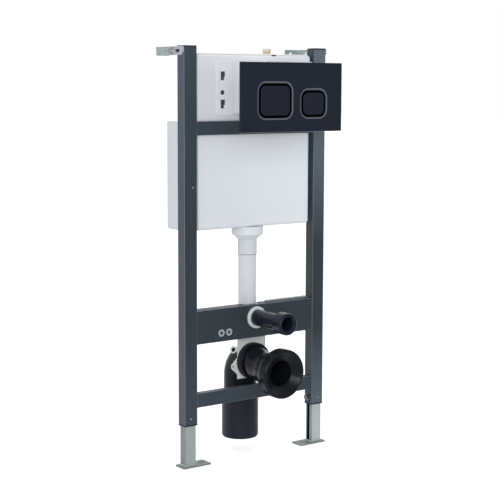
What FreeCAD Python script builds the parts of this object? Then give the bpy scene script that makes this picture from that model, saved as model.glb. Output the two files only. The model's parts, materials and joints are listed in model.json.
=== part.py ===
import FreeCAD, Part
import math
import os
import re
import Sketcher

# A wall hung toilet frame: two uprights on telescopic legs, three crossbars, a concealed
# cistern with its flush plate, the flush pipe and the drain bend. Millimetres. The origin is on
# the floor midway between the legs, in the middle plane of the uprights. X runs to the right
# seen from the front, Y back to the wall and Z up.

# Driving dimensions: name, value and what it measures
SIZES = (
    ("frame_wide", 468.5, "over the uprights"),
    ("frame_high", 1110, "floor to the top of the caps"),
    ("upright_wide", 40, "upright tube along X"),
    ("upright_deep", 32, "upright tube along Y"),
    ("upright_wall", 2, "upright sheet thickness"),
    ("upright_round", 2, "upright outer corner radius"),
    ("upright_base", 115.5, "height of the uprights' lower ends"),
    ("cap_thick", 3.5, "end cap above the tube"),
    ("cap_wall", 2, "wall of the cap's plug"),
    ("cap_plug", 6, "length of the cap's plug in the tube"),
    ("bush_thick", 3, "leg bush below the tube"),
    ("bush_lap", 0.5, "leg bush past the tube's faces"),
    ("leg_gap", 0.5, "running gap round a leg in its bush"),
    ("leg_side_gap", 2.5, "leg from its tube's sides"),
    ("leg_wall", 2, "leg sheet thickness"),
    ("leg_slot", 12, "open slot along the leg's inner side"),
    ("leg_slot_back", 4, "that slot's middle behind the middle plane"),
    ("leg_top", 330, "height of the legs' upper ends"),
    ("foot_inner", 153.7, "foot plate's inner end from the middle"),
    ("foot_outer", 241.3, "foot plate's outer end from the middle"),
    ("foot_deep", 43, "foot plate along Y"),
    ("foot_thick", 4, "foot plate thickness"),
    ("foot_round", 3, "foot plate corner radius"),
    ("anchor_place", 172, "floor bolt slot from the middle"),
    ("anchor_slot", 20, "floor bolt slot from end to end"),
    ("anchor_hole", 11, "floor bolt slot across"),
    ("weld_size", 3, "weld round a leg"),
    ("clamp_rise", 16.5, "leg clamp bolt above the uprights' lower ends"),
    ("clamp_bolt", 8, "leg clamp bolt shank"),
    ("clamp_head", 13, "leg clamp bolt head across flats"),
    ("clamp_reach", 14, "leg clamp bolt into the tube"),
    ("head_thick", 5.5, "bolt head thickness"),
    ("washer_size", 20, "washer diameter"),
    ("washer_thick", 1.6, "washer thickness"),
    ("bolt_gap", 0.2, "gap round a bolt in its hole"),
    ("cut_past", 1, "how far a cut passes the face it starts from"),
    ("bar_wall", 2.5, "crossbar sheet thickness"),
    ("bar_round", 2, "crossbar bend radius"),
    ("top_bar_lap", 3, "top crossbar above the tank's upper side"),
    ("top_bar_tall", 36.4, "top crossbar's height"),
    ("pan_bar_low", 328.4, "underside of the pan crossbar"),
    ("pan_bar_tall", 89.9, "pan crossbar's height"),
    ("pan_bar_front", 13.6, "pan crossbar's face before the middle plane"),
    ("pan_bar_deep", 35, "pan crossbar's flanges"),
    ("low_bar_low", 158.4, "underside of the bottom crossbar"),
    ("low_bar_tall", 38.4, "bottom crossbar's height"),
    ("low_bar_front", 14.5, "bottom crossbar's face before the middle plane"),
    ("low_bar_deep", 19, "bottom crossbar's flanges"),
    ("strip_start", 48, "stiffening strip's left end, right of the middle"),
    ("strip_front", 2, "stiffening strip's front edge behind the middle plane"),
    ("strip_deep", 19, "stiffening strip along Y"),
    ("strip_thick", 3, "stiffening strip thickness"),
    ("strip_chamfer", 9, "cut corner of the stiffening strip"),
    ("stud_rise", 23.6, "pan studs above the pan crossbar's underside"),
    ("stud_near", 90, "inner pan stud from the middle"),
    ("stud_far", 115, "outer pan stud from the middle"),
    ("stud_bore", 10.4, "pan stud nut's thread"),
    ("stud_nut", 19, "pan stud nut's outside"),
    ("stud_nut_long", 16, "pan stud nut's length"),
    ("stud_nut_proud", 2, "pan stud nut past the recess"),
    ("recess_long", 74, "recess round the studs, end to end"),
    ("recess_high", 30, "recess round the studs, height"),
    ("recess_deep", 2.2, "recess round the studs, depth"),
    ("tank_wide", 373, "cistern tank along X"),
    ("tank_front", 7, "tank's front before the middle plane"),
    ("tank_back", 138, "tank's back behind the middle plane"),
    ("tank_tall", 283, "tank's height"),
    ("rear_wide", 381, "tank's rear part along X"),
    ("rear_front", 75, "where the tank's rear part begins behind the middle plane"),
    ("rear_drop", 6, "rear part below the tank's underside"),
    ("rear_step", 2, "edge radius at the step to the rear part"),
    ("tank_wall", 3, "tank wall"),
    ("tank_round", 8, "tank's edge radius"),
    ("hood_wide", 379.4, "hood along X"),
    ("hood_front", 9, "hood's front before the middle plane"),
    ("hood_back", 84, "hood's back behind the middle plane"),
    ("hood_tall", 179, "hood's height"),
    ("hood_drop", 18, "top of the hood below the uprights' caps"),
    ("hood_round", 11, "hood's edge radius"),
    ("nipple_side", 68, "water inlet from the middle"),
    ("nipple_back", 34, "water inlet behind the middle plane"),
    ("nipple_size", 20, "water inlet thread"),
    ("nipple_bore", 12, "water inlet bore"),
    ("nipple_proud", 8, "water inlet above the hood"),
    ("nipple_inside", 12, "water inlet below the hood's top"),
    ("nipple_cap_thick", 7, "cap on the water inlet"),
    ("nipple_cap_size", 22, "cap on the water inlet, across"),
    ("nipple_cap_chamfer", 1.5, "cut edge of that cap"),
    ("cover_wide", 262, "cover plate along X"),
    ("cover_rise", 18, "cover plate's lower edge above the tank"),
    ("cover_tall", 144, "cover plate's height"),
    ("cover_thick", 4, "cover plate thickness"),
    ("cover_round", 5, "cover plate corner radius"),
    ("field_margin", 9, "border round the cover plate's recessed fields"),
    ("field_gap", 5, "those fields from the service shaft"),
    ("field_deep", 0.8, "depth of the fields"),
    ("cover_hole_place", 111, "cover plate's round holes from the middle"),
    ("cover_hole_rise", 59, "round hole above the cover plate's lower edge"),
    ("cover_hole", 13, "round hole in the cover plate"),
    ("high_slot_rise", 102.3, "upper slot above the cover plate's lower edge"),
    ("low_slot_rise", 29, "lower slot above the cover plate's lower edge"),
    ("key_slot_place", 116.4, "outer edge of the slots from the middle"),
    ("key_slot_wide", 13.5, "slots in the cover plate, wide end"),
    ("key_slot_narrow", 10.5, "slots in the cover plate, narrow end"),
    ("key_slot_tall", 23, "slots in the cover plate, height"),
    ("key_slot_step", 2.5, "step in a slot below its middle"),
    ("shaft_wide", 150, "service shaft along X"),
    ("shaft_rise", 4, "service shaft above the cover plate's lower edge"),
    ("shaft_tall", 135, "service shaft's height"),
    ("shaft_wall", 3, "service shaft wall"),
    ("shaft_round", 3, "service shaft edge radius"),
    ("plate_wide", 332.4, "flush plate along X"),
    ("plate_drop", 23.5, "flush plate's lower edge below the tank's upper side"),
    ("plate_tall", 178, "flush plate's height"),
    ("plate_front", 166, "flush plate's face before the middle plane"),
    ("plate_deep", 12, "flush plate depth"),
    ("plate_wall", 2.5, "flush plate wall"),
    ("plate_inset", 10, "flush plate's skirt behind its sides"),
    ("plate_round", 3, "flush plate corner radius"),
    ("full_left", 106.6, "large window's left side, left of the middle"),
    ("full_wide", 105.8, "large window along X"),
    ("full_rise", 36.5, "large window above the flush plate's lower edge"),
    ("full_tall", 88, "large window's height"),
    ("half_left", 31.1, "small window's left side, right of the middle"),
    ("half_wide", 81, "small window along X"),
    ("half_rise", 37.8, "small window above the flush plate's lower edge"),
    ("half_tall", 69.2, "small window's height"),
    ("window_round", 21, "corner radius of the windows"),
    ("bezel_wide", 5.4, "sloping bezel round a window"),
    ("bezel_deep", 1.8, "depth of the bezel's slope"),
    ("button_gap", 6.3, "groove round a button"),
    ("button_lap", 5, "button flange behind the plate"),
    ("button_seat", 0.3, "button flange behind the plate's wall"),
    ("button_flange", 1.5, "button flange thickness"),
    ("flush_back", 28, "flush pipe behind the middle plane"),
    ("nut_size", 86, "outlet nut diameter"),
    ("nut_tall", 34, "outlet nut below the tank"),
    ("nut_straight", 21, "straight part of the outlet nut"),
    ("nut_collar", 56, "outlet nut's lower end, diameter"),
    ("socket_size", 52, "flush pipe socket diameter"),
    ("socket_drop", 77, "flush pipe socket's end below the tank"),
    ("socket_inside", 6, "flush pipe socket above the tank's underside"),
    ("socket_chamfer", 0.6, "cut edge at the socket's end"),
    ("flush_size", 49, "flush pipe diameter"),
    ("flush_wall", 2.2, "flush pipe wall"),
    ("flush_high", 383.3, "height of the flush tube's axis"),
    ("flush_bend", 33, "flush pipe bend radius"),
    ("tube_gap", 0.3, "gap between nested tubes"),
    ("notch_gap", 2, "notch in the pan crossbar past the flush pipe"),
    ("tube_bore", 35.5, "flush tube bore"),
    ("tube_end", 157, "flush tube's end before the middle plane"),
    ("tube_socket", 59, "flush tube's end socket diameter"),
    ("tube_socket_long", 38, "flush tube's end socket length"),
    ("tube_shoulder", 6, "slope between flush tube and end socket"),
    ("tube_mouth", 45, "flush tube's mouth diameter"),
    ("tube_mouth_deep", 6, "slope inside the mouth"),
    ("tube_edge", 3, "rounded edges of the end socket"),
    ("collar_size", 60, "flush collar diameter"),
    ("collar_thick", 7, "flush collar thickness"),
    ("collar_chamfer", 2, "cut edge of the collar"),
    ("drain_back", 60, "drain's vertical leg behind the middle plane"),
    ("drain_size", 90, "drain bend diameter"),
    ("drain_wall", 2.2, "drain bend wall"),
    ("drain_high", 261, "height of the drain bend's forward leg"),
    ("drain_bend_radius", 47.5, "drain bend radius"),
    ("drain_foot", 140, "lower end of the drain bend"),
    ("adapter_size", 101.5, "drain adapter diameter"),
    ("adapter_low", 39.5, "lower end of the drain adapter"),
    ("adapter_high", 165, "upper end of the drain adapter"),
    ("adapter_bore", 84, "drain adapter's lower bore"),
    ("adapter_lead", 5, "taper at the adapter's lower end"),
    ("support_front", 6.5, "pipe support's face behind the middle plane"),
    ("support_wide", 94, "pipe support along X"),
    ("support_wall", 2.5, "pipe support thickness"),
    ("support_drop", 47, "lower edge of the pipe support below the drain axis"),
    ("ear_size", 20, "clamp ear diameter"),
    ("ear_hole", 12, "clamp ear's hole"),
    ("ear_side", 61, "clamp ear from the middle"),
    ("ear_rise", 36, "clamp's upper ear above the drain axis"),
    ("lug_drop", 11, "clamp's lower lug below the drain axis"),
    ("lug_side", 62, "clamp lug from the middle"),
    ("lug_hole", 5, "clamp lug's hole"),
    ("lug_reach", 5, "clamp lug past its hole"),
    ("lug_tall", 10, "clamp lug's outer edge"),
    ("lug_root", 52, "clamp lug's height where it meets the plate"),
    ("seal_size", 100, "drain seal diameter"),
    ("seal_thick", 20, "drain seal thickness"),
    ("seal_bead", 4, "width of the seal's outer bead"),
    ("seal_groove", 2, "groove round the seal"),
    ("seal_lip", 1.7, "seal's front lip"),
    ("seal_chamfer", 3, "cut edge of the seal"),
    ("seal_seat", 2, "drain bend's end behind the seal's front"),
    ("neck_size", 84.8, "pan connector's neck diameter"),
    ("neck_in", 3, "pan connector's inner end behind the middle plane"),
    ("neck_out", 16, "where the connector's straight neck ends"),
    ("neck_flare", 3, "widening of the neck up to its waist"),
    ("waist_front", 62, "where the pan connector begins to flare"),
    ("rim_front", 142, "pan connector's rim before the middle plane"),
    ("rim_size", 132.8, "pan connector's rim diameter"),
    ("rim_drop", 14, "pan connector's rim below the drain axis"),
    ("rim_band", 27, "width of the rim's band"),
    ("rim_edge", 5, "rounded edge of the rim"),
    ("rim_step", 3, "rim's band past the end of the flare"),
    ("pan_bore", 70, "pan connector's throat"),
    ("throat_back", 62, "throat behind the rim"),
    ("mouth_size", 118, "pan connector's mouth"),
    ("mouth_slope", 17, "depth of the cone inside the mouth"),
    ("bracket_drop", 2, "wall brackets below the uprights' caps"),
    ("bracket_tall", 22.4, "wall bracket's height"),
    ("bracket_wall", 2.5, "wall bracket thickness"),
    ("side_plate_front", 15.6, "bracket plate's front end before the middle plane"),
    ("side_plate_back", 49, "bracket plate's rounded end behind the middle plane"),
    ("side_plate_chamfer", 9, "cut lower corner of the bracket plate"),
    ("side_slot_front", 0.5, "bracket plate's slot behind the middle plane"),
    ("side_slot_long", 23, "bracket plate's slot"),
    ("side_slot", 8, "bracket plate's slot across"),
    ("bracket_front", 21.5, "wall bracket's front end behind the middle plane"),
    ("wall_place", 117, "wall bracket's back face behind the middle plane"),
    ("bracket_turn", 40, "wall bracket's flange along X"),
    ("bracket_round", 2, "wall bracket's corner radius"),
    ("slide_slot_front", 25.5, "adjusting slot's front end behind the middle plane"),
    ("slide_slot_long", 16, "adjusting slot from end to end"),
    ("slide_slot", 7, "adjusting slot across"),
    ("slide_bolt_back", 38, "bracket bolt behind the middle plane"),
    ("slide_bolt", 6, "bracket bolt shank"),
    ("slide_nut_gap", 0.3, "gap between the bracket and the bolt's nut"),
    ("wall_hole", 9, "bracket's wall bolt hole"),
    ("wall_hole_in", 20, "wall bolt hole from the flange's free end"),
    ("spare_hole_back", 71, "bracket's spare hole behind the middle plane"),
)

# Heights that follow from the driving dimensions
HOOD_HIGH = "frame_high - hood_drop"
TANK_HIGH = f"{HOOD_HIGH} - hood_tall"
COVER_LOW = f"{TANK_HIGH} + cover_rise"
PLATE_LOW = f"{TANK_HIGH} - plate_drop"
LEVELS = {
    "hood_high": HOOD_HIGH,
    "tank_high": TANK_HIGH,
    "tank_low": f"{TANK_HIGH} - tank_tall",
    "nut_low": f"{TANK_HIGH} - tank_tall - nut_tall",
    "socket_low": f"{TANK_HIGH} - tank_tall - socket_drop",
    "cover_low": COVER_LOW,
    "cover_high": f"{COVER_LOW} + cover_tall",
    "cover_hole_high": f"{COVER_LOW} + cover_hole_rise",
    "high_slot": f"{COVER_LOW} + high_slot_rise",
    "low_slot": f"{COVER_LOW} + low_slot_rise",
    "shaft_low": f"{COVER_LOW} + shaft_rise",
    "shaft_high": f"{COVER_LOW} + shaft_rise + shaft_tall",
    "plate_low": PLATE_LOW,
    "plate_high": f"{PLATE_LOW} + plate_tall",
    "full_low": f"{PLATE_LOW} + full_rise",
    "full_high": f"{PLATE_LOW} + full_rise + full_tall",
    "half_low": f"{PLATE_LOW} + half_rise",
    "half_high": f"{PLATE_LOW} + half_rise + half_tall",
    "top_bar_low": f"{TANK_HIGH} + top_bar_lap - top_bar_tall",
    "top_bar_high": f"{TANK_HIGH} + top_bar_lap",
    "pan_bar_high": "pan_bar_low + pan_bar_tall",
    "low_bar_high": "low_bar_low + low_bar_tall",
    "stud_high": "pan_bar_low + stud_rise",
    "clamp_high": "upright_base + clamp_rise",
    "bracket_low": "frame_high - bracket_drop - bracket_tall",
    "bracket_middle": "frame_high - bracket_drop - bracket_tall / 2",
    "support_low": "drain_high - support_drop",
    "ear_high": "drain_high + ear_rise",
    "lug_high": "drain_high - lug_drop",
}

doc = FreeCAD.newDocument("WallHungToiletFrame")
sheet = doc.addObject("Spreadsheet::Sheet", "Sizes")
NAMES = set()
for row, (name, size, meaning) in enumerate(SIZES, start=1):
    sheet.set(f"A{row}", meaning)
    sheet.set(f"B{row}", str(size))
    sheet.setAlias(f"B{row}", name)
    NAMES.add(name)
doc.recompute()

pieces = []


# Reading the sheet
def spelled(text):
    """The expression with its heights written out in driving dimensions."""
    def write_out(found):
        word = found.group()
        return f"({LEVELS[word]})" if word in LEVELS else word
    return re.sub(r"[a-z_]+", write_out, str(text))


def tied(text):
    """The expression with its names looked up in the sheet."""
    def look_up(found):
        word = found.group()
        return "Sizes." + word if word in NAMES else word
    return re.sub(r"[a-z_]+", look_up, spelled(text))


def amount(text):
    """The value of an expression now."""
    return float(sheet.evalExpression(spelled(text)))


# Sketches and features
def new_body(label):
    body = doc.addObject("PartDesign::Body", label)
    body.Label = label
    pieces.append(body)
    return body


def new_sketch(body, role, along="0", up="0", out="0"):
    """A sketch on one of the body's own planes, shifted along, up and out of it."""
    sketch = body.newObject("Sketcher::SketchObject", body.Name + "_sketch")
    plane = [item for item in body.Origin.OriginFeatures if item.Role == role][0]
    sketch.AttachmentSupport = [(plane, "")]
    sketch.MapMode = "FlatFace"
    sketch.setExpression("AttachmentOffset.Base.x", tied(along))
    sketch.setExpression("AttachmentOffset.Base.y", tied(up))
    sketch.setExpression("AttachmentOffset.Base.z", tied(out))
    return sketch


def set_size(sketch, constraint, text):
    """Add a dimension and tie it to the sheet."""
    place = sketch.addConstraint(constraint)
    sketch.setExpression(f"Constraints[{place}]", tied(text))


def polygon(sketch, corners):
    """A closed outline of straight sides, each corner placed from the sketch's origin."""
    points = [FreeCAD.Vector(amount(x), amount(y), 0) for x, y in corners]
    first = sketch.GeometryCount
    count = len(points)
    for step in range(count):
        sketch.addGeometry(Part.LineSegment(points[step], points[(step + 1) % count]), False)
    for step in range(count):
        following = first + (step + 1) % count
        sketch.addConstraint(Sketcher.Constraint("Coincident", first + step, 2, following, 1))
    for step, (x, y) in enumerate(corners):
        line = first + step
        set_size(sketch, Sketcher.Constraint("DistanceX", -1, 1, line, 1, points[step].x), x)
        set_size(sketch, Sketcher.Constraint("DistanceY", -1, 1, line, 1, points[step].y), y)


def rectangle(sketch, left, low, right, high):
    polygon(sketch, ((left, low), (right, low), (right, high), (left, high)))


def rounded_rectangle(sketch, left, low, right, high, radius):
    """Four straight sides joined by four equal arcs."""
    corner = amount(radius)
    x_places = (amount(left) + corner, amount(right) - corner)
    y_places = (amount(low) + corner, amount(high) - corner)
    centres = (
        FreeCAD.Vector(x_places[1], y_places[0], 0), FreeCAD.Vector(x_places[1], y_places[1], 0),
        FreeCAD.Vector(x_places[0], y_places[1], 0), FreeCAD.Vector(x_places[0], y_places[0], 0),
    )
    arcs = []
    for turn, centre in enumerate(centres):
        ring = Part.Circle(centre, FreeCAD.Vector(0, 0, 1), corner)
        start = (turn - 1) * math.pi / 2
        arcs.append(Part.ArcOfCircle(ring, start, start + math.pi / 2))
    places = [sketch.addGeometry(arc, False) for arc in arcs]
    for step in range(4):
        following = (step + 1) % 4
        side = Part.LineSegment(arcs[step].EndPoint, arcs[following].StartPoint)
        line = sketch.addGeometry(side, False)
        sketch.addConstraint(Sketcher.Constraint("Tangent", places[step], 2, line, 1))
        sketch.addConstraint(Sketcher.Constraint("Tangent", line, 2, places[following], 1))
        sketch.addConstraint(Sketcher.Constraint("Horizontal" if step % 2 else "Vertical", line))
    for place in places:
        set_size(sketch, Sketcher.Constraint("Radius", place, corner), radius)
    first, opposite = places[0], places[2]
    set_size(sketch, Sketcher.Constraint("DistanceX", -1, 1, first, 3, x_places[1]),
             f"({right}) - ({radius})")
    set_size(sketch, Sketcher.Constraint("DistanceY", -1, 1, first, 3, y_places[0]),
             f"({low}) + ({radius})")
    set_size(sketch, Sketcher.Constraint("DistanceX", -1, 1, opposite, 3, x_places[0]),
             f"({left}) + ({radius})")
    set_size(sketch, Sketcher.Constraint("DistanceY", -1, 1, opposite, 3, y_places[1]),
             f"({high}) - ({radius})")


def circle(sketch, x, y, diameter):
    centre = FreeCAD.Vector(amount(x), amount(y), 0)
    radius = amount(diameter) / 2
    ring = sketch.addGeometry(Part.Circle(centre, FreeCAD.Vector(0, 0, 1), radius), False)
    set_size(sketch, Sketcher.Constraint("Radius", ring, radius), f"({diameter}) / 2")
    set_size(sketch, Sketcher.Constraint("DistanceX", -1, 1, ring, 3, centre.x), x)
    set_size(sketch, Sketcher.Constraint("DistanceY", -1, 1, ring, 3, centre.y), y)


def obround(sketch, x, y, long, across):
    """A slot along the sketch's x, centred on x and y, measured from end to end."""
    centre_x = amount(x)
    centre_y = amount(y)
    radius = amount(across) / 2
    reach = amount(long) / 2 - radius
    normal = FreeCAD.Vector(0, 0, 1)
    right_centre = FreeCAD.Vector(centre_x + reach, centre_y, 0)
    left_centre = FreeCAD.Vector(centre_x - reach, centre_y, 0)
    rise = FreeCAD.Vector(0, radius, 0)
    half_turn = math.pi / 2
    right_arc = Part.ArcOfCircle(Part.Circle(right_centre, normal, radius), -half_turn, half_turn)
    left_arc = Part.ArcOfCircle(Part.Circle(left_centre, normal, radius), half_turn, 3 * half_turn)
    right = sketch.addGeometry(right_arc, False)
    left = sketch.addGeometry(left_arc, False)
    top = sketch.addGeometry(Part.LineSegment(right_centre + rise, left_centre + rise), False)
    low = sketch.addGeometry(Part.LineSegment(left_centre - rise, right_centre - rise), False)
    sketch.addConstraint(Sketcher.Constraint("Tangent", right, 2, top, 1))
    sketch.addConstraint(Sketcher.Constraint("Tangent", top, 2, left, 1))
    sketch.addConstraint(Sketcher.Constraint("Tangent", left, 2, low, 1))
    sketch.addConstraint(Sketcher.Constraint("Tangent", low, 2, right, 1))
    sketch.addConstraint(Sketcher.Constraint("Horizontal", top))
    set_size(sketch, Sketcher.Constraint("Radius", right, radius), f"({across}) / 2")
    reach_text = f"(({long}) - ({across})) / 2"
    set_size(sketch, Sketcher.Constraint("DistanceX", -1, 1, right, 3, right_centre.x),
             f"({x}) + {reach_text}")
    set_size(sketch, Sketcher.Constraint("DistanceX", -1, 1, left, 3, left_centre.x),
             f"({x}) - {reach_text}")
    set_size(sketch, Sketcher.Constraint("DistanceY", -1, 1, right, 3, centre_y), y)


def pad(body, sketch, length, reverse=False):
    feature = body.newObject("PartDesign::Pad", body.Name + "_pad")
    feature.Profile = sketch
    feature.setExpression("Length", tied(length))
    feature.Reversed = reverse
    doc.recompute()
    return feature


def pocket(body, sketch, depth, reverse=False):
    """Cut the sketch's outline into the body, and make sure that it removes material."""
    before = body.Shape.Volume
    feature = body.newObject("PartDesign::Pocket", body.Name + "_pocket")
    feature.Profile = sketch
    feature.setExpression("Length", tied(depth))
    feature.Reversed = reverse
    doc.recompute()
    if not body.Shape.Volume < before:
        raise ValueError(f"{body.Label}: a pocket cuts nothing")
    return feature


def revolve(body, sketch, axis):
    feature = body.newObject("PartDesign::Revolution", body.Name + "_turn")
    feature.Profile = sketch
    feature.ReferenceAxis = (sketch, [axis])
    feature.Angle = 360
    doc.recompute()
    return feature


def round_edges(body, wanted, radius):
    """Fillet the edges of the body's last feature that pass the test."""
    base = body.Tip
    edges = enumerate(base.Shape.Edges, start=1)
    names = [f"Edge{place}" for place, edge in edges if wanted(edge)]
    feature = body.newObject("PartDesign::Fillet", body.Name + "_fillet")
    feature.Base = (base, names)
    feature.setExpression("Radius", tied(radius))
    doc.recompute()
    if not names or "Invalid" in feature.State:
        raise ValueError(f"{body.Label}: a fillet finds no edges or fails")
    return feature


def runs_along(edge, axis):
    """Whether an edge is straight and lies along a unit vector."""
    start = edge.valueAt(edge.FirstParameter)
    end = edge.valueAt(edge.LastParameter)
    return abs(abs((end - start).dot(axis)) - edge.Length) < 1e-6


ALONG_X = FreeCAD.Vector(1, 0, 0)
ALONG_Y = FreeCAD.Vector(0, 1, 0)
ALONG_Z = FreeCAD.Vector(0, 0, 1)


def mirrored(source, label):
    """The same piece on the left side."""
    copy = doc.addObject("Part::Mirroring", label)
    copy.Label = label
    copy.Source = source
    copy.Base = FreeCAD.Vector(0, 0, 0)
    copy.Normal = ALONG_X
    pieces.append(copy)
    return copy


def primitive(kind, name, sizes, place=("0", "0", "0"), turn=None):
    """A box, cylinder, cone or prism with its sizes and place tied to the sheet."""
    solid = doc.addObject("Part::" + kind, name)
    if turn:
        solid.Placement = FreeCAD.Placement(FreeCAD.Vector(), FreeCAD.Rotation(*turn))
    for key, text in sizes.items():
        solid.setExpression(key, tied(text))
    for axis, text in zip("xyz", place):
        solid.setExpression("Placement.Base." + axis, tied(text))
    return solid


def joined(label, solids):
    fused = doc.addObject("Part::MultiFuse", label)
    fused.Shapes = solids
    return fused


def cut(label, base, tool):
    difference = doc.addObject("Part::Cut", label)
    difference.Base = base
    difference.Tool = tool
    return difference


def finished(feature, label):
    """Name a boolean or primitive as a piece."""
    feature.Label = label
    pieces.append(feature)
    return feature


FACING_FRONT = (ALONG_X, 90)
FACING_RIGHT = (ALONG_Y, 90)
INNER_SIDE = "frame_wide / 2 - upright_wide"
UPRIGHT_MIDDLE = "frame_wide / 2 - upright_wide / 2"
LEG_WIDE = "upright_wide - 2 * upright_wall - 2 * leg_side_gap"
LEG_DEEP = "upright_deep - 2 * upright_wall - 2 * leg_gap"
PLUG_WIDE = "upright_wide - 2 * upright_wall - 2 * leg_gap"


# Uprights, their caps and the leg bushes
def make_upright():
    body = new_body("right_upright")
    outside = new_sketch(body, "XY_Plane", along=UPRIGHT_MIDDLE, out="upright_base")
    rectangle(outside, "-upright_wide / 2", "-upright_deep / 2",
              "upright_wide / 2", "upright_deep / 2")
    pad(body, outside, "frame_high - cap_thick - upright_base")
    round_edges(body, lambda edge: runs_along(edge, ALONG_Z), "upright_round")
    inside = new_sketch(body, "XY_Plane", along=UPRIGHT_MIDDLE, out="upright_base")
    rectangle(inside, "-upright_wide / 2 + upright_wall", "-upright_deep / 2 + upright_wall",
              "upright_wide / 2 - upright_wall", "upright_deep / 2 - upright_wall")
    pocket(body, inside, "frame_high", reverse=True)
    clamp_hole = new_sketch(body, "YZ_Plane", out=f"{INNER_SIDE} - cut_past")
    circle(clamp_hole, "leg_slot_back", "clamp_high", "clamp_bolt + 2 * bolt_gap")
    pocket(body, clamp_hole, "upright_wall + 2 * cut_past", reverse=True)
    mirrored(body, "left_upright")


def make_upright_cap():
    body = new_body("right_upright_cap")
    lid = new_sketch(body, "XY_Plane", along=UPRIGHT_MIDDLE, out="frame_high - cap_thick")
    rectangle(lid, "-upright_wide / 2", "-upright_deep / 2",
              "upright_wide / 2", "upright_deep / 2")
    pad(body, lid, "cap_thick")
    round_edges(body, lambda edge: runs_along(edge, ALONG_Z), "upright_round")
    plug = new_sketch(body, "XY_Plane", along=UPRIGHT_MIDDLE, out="frame_high - cap_thick")
    rectangle(plug, f"-({PLUG_WIDE}) / 2", f"-({LEG_DEEP}) / 2", f"({PLUG_WIDE}) / 2",
              f"({LEG_DEEP}) / 2")
    pad(body, plug, "cap_plug", reverse=True)
    hollow = new_sketch(body, "XY_Plane", along=UPRIGHT_MIDDLE,
                        out="frame_high - cap_thick - cap_plug")
    rectangle(hollow, f"-({PLUG_WIDE}) / 2 + cap_wall", f"-({LEG_DEEP}) / 2 + cap_wall",
              f"({PLUG_WIDE}) / 2 - cap_wall", f"({LEG_DEEP}) / 2 - cap_wall")
    pocket(body, hollow, "cap_plug - cap_wall", reverse=True)
    mirrored(body, "left_upright_cap")


def make_leg_bush():
    body = new_body("right_leg_bush")
    ring = new_sketch(body, "XY_Plane", along=UPRIGHT_MIDDLE, out="upright_base - bush_thick")
    rectangle(ring, "-upright_wide / 2 - bush_lap", "-upright_deep / 2 - bush_lap",
              "upright_wide / 2 + bush_lap", "upright_deep / 2 + bush_lap")
    pad(body, ring, "bush_thick")
    round_edges(body, lambda edge: runs_along(edge, ALONG_Z), "upright_round")
    opening = new_sketch(body, "XY_Plane", along=UPRIGHT_MIDDLE, out="upright_base")
    rectangle(opening, f"-({LEG_WIDE}) / 2 - leg_gap", f"-({LEG_DEEP}) / 2 - leg_gap",
              f"({LEG_WIDE}) / 2 + leg_gap", f"({LEG_DEEP}) / 2 + leg_gap")
    pocket(body, opening, "bush_thick")
    mirrored(body, "left_leg_bush")


# Legs and foot plates
def make_leg():
    body = new_body("right_leg")
    section = new_sketch(body, "XY_Plane", along=UPRIGHT_MIDDLE, out="foot_thick")
    left = f"-({LEG_WIDE}) / 2"
    right = f"({LEG_WIDE}) / 2"
    low = f"-({LEG_DEEP}) / 2"
    high = f"({LEG_DEEP}) / 2"
    polygon(section, (
        (left, low), (right, low), (right, high), (left, high),
        (left, "leg_slot_back + leg_slot / 2"),
        (f"{left} + leg_wall", "leg_slot_back + leg_slot / 2"),
        (f"{left} + leg_wall", f"{high} - leg_wall"),
        (f"{right} - leg_wall", f"{high} - leg_wall"),
        (f"{right} - leg_wall", f"{low} + leg_wall"),
        (f"{left} + leg_wall", f"{low} + leg_wall"),
        (f"{left} + leg_wall", "leg_slot_back - leg_slot / 2"),
        (left, "leg_slot_back - leg_slot / 2"),
    ))
    pad(body, section, "leg_top - foot_thick")
    mirrored(body, "left_leg")


def make_foot_plate():
    body = new_body("right_foot_plate")
    outline = new_sketch(body, "XY_Plane")
    rectangle(outline, "foot_inner", "-foot_deep / 2", "foot_outer", "foot_deep / 2")
    pad(body, outline, "foot_thick")
    round_edges(body, lambda edge: runs_along(edge, ALONG_Z), "foot_round")
    slot = new_sketch(body, "XY_Plane", out="foot_thick")
    obround(slot, "anchor_place", "0", "anchor_slot", "anchor_hole")
    pocket(body, slot, "foot_thick")
    bead_foot = new_sketch(body, "XY_Plane", along=UPRIGHT_MIDDLE, out="foot_thick")
    rectangle(bead_foot, f"-({LEG_WIDE}) / 2 - weld_size", f"-({LEG_DEEP}) / 2 - weld_size",
              f"({LEG_WIDE}) / 2 + weld_size", f"({LEG_DEEP}) / 2 + weld_size")
    bead_top = new_sketch(body, "XY_Plane", along=UPRIGHT_MIDDLE, out="foot_thick + weld_size")
    rectangle(bead_top, f"-({LEG_WIDE}) / 2 - weld_size / 6", f"-({LEG_DEEP}) / 2 - weld_size / 6",
              f"({LEG_WIDE}) / 2 + weld_size / 6", f"({LEG_DEEP}) / 2 + weld_size / 6")
    bead = body.newObject("PartDesign::AdditiveLoft", "weld_bead")
    bead.Profile = bead_foot
    bead.Sections = [bead_top]
    doc.recompute()
    seat = new_sketch(body, "XY_Plane", along=UPRIGHT_MIDDLE, out="foot_thick + weld_size")
    rectangle(seat, f"-({LEG_WIDE}) / 2", f"-({LEG_DEEP}) / 2", f"({LEG_WIDE}) / 2",
              f"({LEG_DEEP}) / 2")
    pocket(body, seat, "weld_size")
    mirrored(body, "left_foot_plate")


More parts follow.
